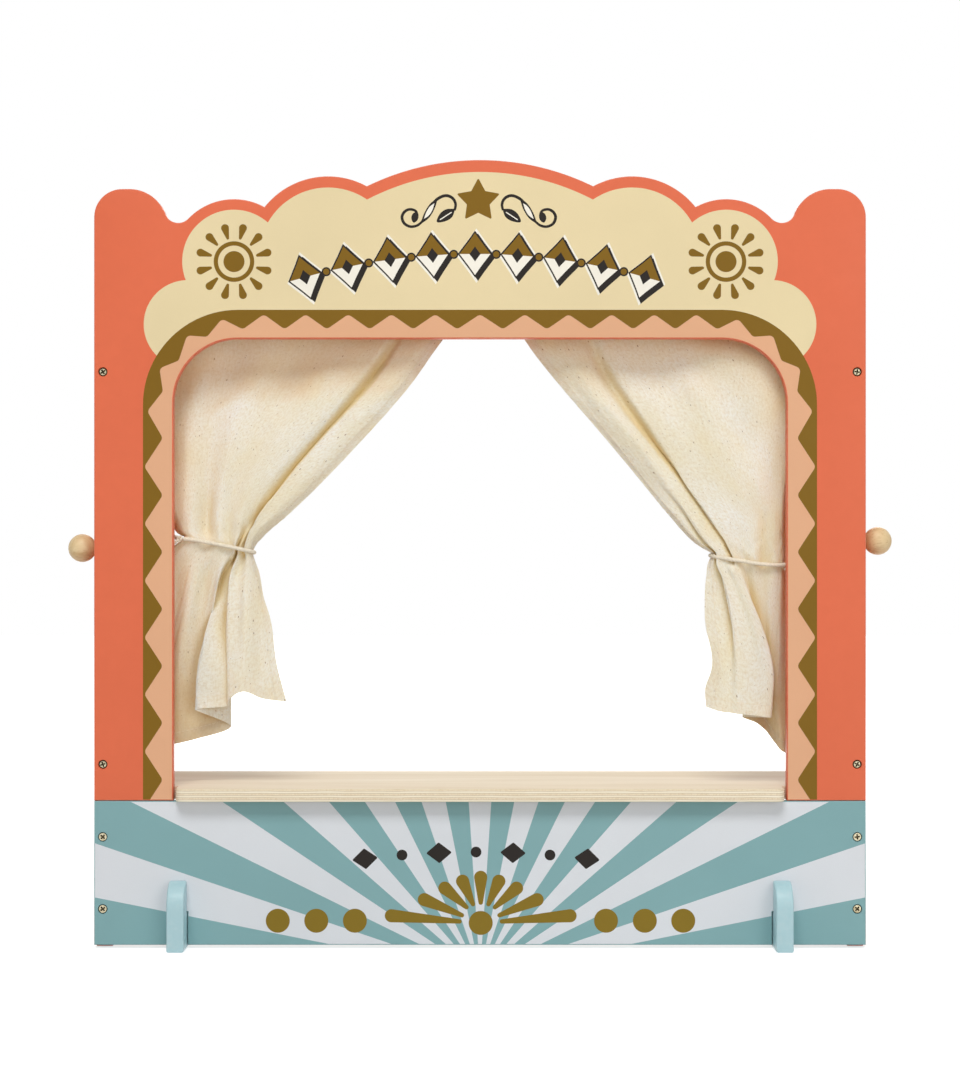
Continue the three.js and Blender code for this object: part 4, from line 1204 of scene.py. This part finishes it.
def relaxed(grid, waist_row):
    """Lets a drawn surface settle as cloth. Its seam and its waist stay put, the rest is drawn back to its place by
    weak springs, and the cloth is a little larger away from the waist, so that it slackens into folds."""
    size, growth, frames = 10.0, 0.02, 16
    rows, cols = grid.shape[:2]
    index = np.arange(rows * cols).reshape(rows, cols)
    mesh = mesh_of("settling", (grid.reshape(-1, 3) * size).tolist(), grid_quads(index).tolist())
    obj = placed("settling", mesh)
    held = np.full(rows, 0.22)
    held[rows - 3:] = 0.3
    held[0] = 1.0
    held[waist_row - 1: waist_row + 2] = 1.0
    slack = 1 - np.exp(-(((np.arange(rows) - waist_row) / 24.0) ** 2))
    for name, weights in (("held", held), ("slack", slack)):
        group = obj.vertex_groups.new(name=name)
        for ids, weight in zip(index.tolist(), weights.tolist()):
            group.add(ids, weight, "REPLACE")
    mod = obj.modifiers.new("settling", "CLOTH")
    cloth = mod.settings
    cloth.quality, cloth.mass = 5, 0.15
    cloth.tension_stiffness = cloth.compression_stiffness = 30
    cloth.shear_stiffness, cloth.bending_stiffness = 12, 1.5
    cloth.tension_damping = cloth.compression_damping = cloth.shear_damping = 10
    cloth.bending_damping, cloth.air_damping = 1, 2
    cloth.vertex_group_mass, cloth.pin_stiffness = "held", 1.0
    cloth.vertex_group_shrink, cloth.shrink_min, cloth.shrink_max = "slack", 0.0, -growth
    cloth.effector_weights.gravity = 0.6
    mod.collision_settings.use_collision = False
    mod.collision_settings.use_self_collision = False
    mod.point_cache.frame_start, mod.point_cache.frame_end = 1, frames
    for frame_number in range(1, frames + 1):
        scene.frame_set(frame_number)
    settled = obj.evaluated_get(bpy.context.evaluated_depsgraph_get())
    flat = np.zeros(rows * cols * 3, np.float32)
    settled.data.vertices.foreach_get("co", flat)
    bpy.data.objects.remove(obj)
    bpy.data.meshes.remove(mesh)
    scene.frame_set(1)
    return flat.reshape(rows, cols, 3).astype(float) / size


def pocket_round_rod(seam):
    """Rows of the pocket: from its tail behind the sheet, up round the rod's back and down its front to the seam"""
    loop = [(0, 0.9, -11.4), (0, 0.9, -8.4), (0, 4.4, -6.5), (0, 7.2, -2.2), (0, 7.4, 2.4), (0, 4.8, 6.3), (0, 0, 7.7),
            (0, -4.8, 6.3), (0, -7.4, 2.4), (0, -7.2, -2.2), (0, -4.4, -6.5)]
    loop = evenly(flowing(loop), 1.5)[:, 1:] * MM
    u = np.linspace(0, 1, len(seam))
    ruffle = np.sin(2 * math.pi * 9 * u + 0.8) * 0.6 + np.sin(2 * math.pi * 23 * u) * 0.3
    rows = []
    for i, (dy, dz) in enumerate(loop):
        swell = 1 + 0.055 * ruffle * math.sin(math.pi * i / (len(loop) - 1))
        lean = (seam[:, 1] - ROD.y) * max(0.0, 1 - abs(dz + 0.0082) / 0.004)
        rows.append(np.stack([seam[:, 0], ROD.y + dy * swell + lean, ROD.z + dz * swell], 1))
    return np.array(rows)


def at_place(grid, rows, cols):
    """Points of a grid at fractional rows and columns"""
    r0 = np.clip(rows.astype(int), 0, grid.shape[0] - 2)
    c0 = np.clip(cols.astype(int), 0, grid.shape[1] - 2)
    fr, fc = (rows - r0)[:, None], (cols - c0)[:, None]
    return ((grid[r0, c0] * (1 - fc) + grid[r0, c0 + 1] * fc) * (1 - fr)
            + (grid[r0 + 1, c0] * (1 - fc) + grid[r0 + 1, c0 + 1] * fc) * fr)


def stitches(name, lines, rng):
    """Running stitches: short thread humps along lines of (points, outward normals)"""
    verts, faces = [], []
    pitch, length, thread, rings, sides = 0.0036, 0.0026, 0.00021, 6, 6
    t = np.linspace(0, 1, rings)
    hump = (np.sin(math.pi * t) * 0.00022 - 0.00008)[:, None]
    for points, normals in lines:
        run = lengths_along(points)
        for k in range(int(run[-1] / pitch)):
            at = (k + 0.3 + rng.uniform(-0.05, 0.05)) * pitch + t * length
            mid, up = sampled(at, run, points), unit(sampled(at, run, normals))
            aside = np.cross(unit(np.gradient(mid, axis=0)), up)
            faces += tube_faces(rings, sides, len(verts))
            for centre, u, v in zip(mid + up * hump, up, aside):
                verts += [tuple(centre + thread * (math.cos(w) * u + math.sin(w) * v))
                          for w in (i * math.pi / 3 for i in range(sides))]
    return new_object(name, mesh_of(name, verts, faces), ["thread"], body=None, slot="calico", smooth=60)


HEM_WIDTH, SIDE_WIDTH = 0.010, 0.009
SEWN_IN = 0.0012                         # from the turned part's inner edge to its stitches
HALF_CLOTH = 0.00027


def folded_in(to_edge, width):
    """From 0 on the single cloth to 1 on the turned edge"""
    return np.clip((width - to_edge) / 0.0012 + 0.5, 0, 1)


def near_seam(to_edge, width, spread):
    return np.exp(-(((to_edge - width) / spread) ** 2))


def cloth_piece(side, spec):
    """The curtain's cloth with its pocket and turned hems, and its stitches"""
    right = side == "right"
    grid = creased(draped(spec) * MM, 8.0 if right else 3.0)
    grid = relaxed(grid, round(ROWS * WAIST_SHARE))
    pocket = pocket_round_rod(grid[0])
    seam = len(pocket)
    grid = np.vstack([pocket, grid])
    rows, cols = grid.shape[:2]
    width = spec["flat"][0] * MM
    run = np.zeros((rows, cols))
    run[1:] = np.cumsum(np.linalg.norm(np.diff(grid, axis=0), axis=2), axis=0)
    across = np.broadcast_to(np.linspace(0, width, cols), run.shape)
    to_hem, to_edge = run[-1] - run, np.minimum(across, width - across)
    layers = np.maximum(1 + 1.3 * folded_in(to_hem, HEM_WIDTH), 1 + 1.2 * folded_in(to_edge, SIDE_WIDTH))
    normal = normals_of(grid)
    pucker = 0.00025 * np.sin(across / 0.0038 + 2 * np.sin(across / 0.03)) * near_seam(to_hem, HEM_WIDTH, 0.005)
    pucker = pucker + 0.0002 * np.sin(run / 0.0036) * near_seam(to_edge, SIDE_WIDTH, 0.004)
    grid = grid + normal * pucker[..., None]
    half = HALF_CLOTH * layers[..., None]
    front, back = grid + normal * half, grid - normal * half
    index = np.arange(rows * cols).reshape(rows, cols)
    quads = grid_quads(index)[:, [0, 3, 2, 1]]
    rim = np.concatenate([index[0, :], index[1:, -1], index[-1, -2::-1], index[-2:0:-1, 0]])
    after = np.roll(rim, -1)
    sides = np.stack([rim, rim + rows * cols, after + rows * cols, after], -1)
    name = f"curtain_{side}_cloth"
    mesh = mesh_of(name, np.vstack([front.reshape(-1, 3), back.reshape(-1, 3)]).tolist(),
                   np.vstack([quads, quads[:, ::-1] + rows * cols, sides]).tolist())
    uv = mesh.uv_layers.new(name="cut")
    flat = np.stack([across + RIGHT_CUT * right, run[seam] - run], -1).reshape(-1, 2)
    flat = np.vstack([flat, flat + (0.0, OTHER_SIDE)])
    loops = np.zeros(len(mesh.loops), np.int32)
    mesh.loops.foreach_get("vertex_index", loops)
    uv.data.foreach_set("uv", flat[loops].astype(np.float32).ravel())
    bm = bmesh.new()
    bm.from_mesh(mesh)
    bmesh.ops.recalc_face_normals(bm, faces=bm.faces)
    bm.to_mesh(mesh)
    bm.free()
    cloth = new_object(name, mesh, ["calico"], body=None, slot="calico", smooth=60)

    every_col, below = np.arange(cols, dtype=float), np.arange(seam + 1, rows - 1, dtype=float)
    hem_rows = np.array([rows - 1 - np.interp(HEM_WIDTH - SEWN_IN, column[::-1], np.arange(rows))
                         for column in to_hem.T])
    sewn_at = (SIDE_WIDTH - SEWN_IN) / width
    lines = []
    for layer, outward in ((front, normal), (back, -normal)):
        lines.append([at_place(net, hem_rows, every_col) for net in (layer, outward)])
        lines.append([layer[seam], outward[seam]])
        for col in (sewn_at * (cols - 1), (1 - sewn_at) * (cols - 1)):
            lines.append([at_place(net, below, np.full(len(below), col)) for net in (layer, outward)])
    return cloth, stitches(f"curtain_{side}_stitches", lines, random.Random(5))


for side, spec in CURTAINS.items():
    cloth, sewn = cloth_piece(side, spec)
    for obj in (cloth, sewn):
        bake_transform(obj)
    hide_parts(f"curtain_{side}")

# ---------------------------------------------------------------- stage, light and camera

floor = placed("floor", mesh_of("floor", [(-6, -6, 0), (6, -6, 0), (6, 6, 0), (-6, 6, 0)], [(0, 1, 2, 3)]))
floor.location.z = -0.0002
n = Nodes("white_floor")
apart = n.add("ShaderNodeVectorMath", {0: n.place()}, operation="LENGTH")["Value"]
rays = n.add("ShaderNodeLightPath")
near = n.times(rays["Is Camera Ray"], n.ramp(apart, 0.35, 1.1, 0.62, 1.0))
glow = n.math("ADD", near, rays["Is Glossy Ray"], clamp=True)
floor.data.materials.append(n.finish((0.75, 0.75, 0.75, 1), 0.9, Specular_IOR_Level=0.1, Emission_Color=(1, 1, 1, 1),
                                     Emission_Strength=glow))
floor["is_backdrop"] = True

scene.world = bpy.data.worlds.new("studio")
n = Nodes("studio", scene.world)
n.tree.nodes.clear()
rays = n.add("ShaderNodeLightPath")
seen = n.math("ADD", rays["Is Camera Ray"], rays["Is Glossy Ray"], clamp=True)
seen = n.math("ADD", seen, rays["Is Transmission Ray"], clamp=True)
white = n.add("ShaderNodeBackground", {0: (1, 1, 1, 1), 1: 1.0})[0]
dim = n.add("ShaderNodeBackground", {0: (1, 0.97, 0.925, 1), 1: 0.32})[0]
n.add("ShaderNodeOutputWorld", {0: n.add("ShaderNodeMixShader", {0: seen, 1: dim, 2: white})[0]})


def softbox(name, place, size, power, colour=(1, 1, 1), aim=(0, 0, 0.3)):
    light = bpy.data.lights.new(name, "AREA")
    light.shape, light.size, light.size_y = "RECTANGLE", *size
    light.energy, light.color = power, colour
    obj = placed(name, light)
    obj.location = place
    obj.rotation_euler = (Vector(place) - Vector(aim)).to_track_quat("Z", "Y").to_euler()


softbox("key", (-0.35, -2.7, 3.9), (2.1, 1.4), 114, (1, 0.99, 0.975))
softbox("fill", (1.6, -2.8, 0.9), (1.6, 1.6), 20)
softbox("back", (0.3, 2.2, 1.7), (1.8, 1.2), 22, (1, 0.95, 0.88))

SENSOR = 36.0
camera = bpy.data.cameras.new("camera")
camera.sensor_width, camera.lens = SENSOR, SENSOR * FOCAL_PX / PHOTO_HEIGHT
camera.clip_start, camera.clip_end = 0.05, 30
scene.camera = placed("camera", camera)
scene.camera.location = (0, FRONT_Y - EYE_DISTANCE, EYE_HEIGHT * MM)
scene.camera.rotation_euler = (math.pi / 2, 0, 0)
scene.view_settings.view_transform = "Standard"

low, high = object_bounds()
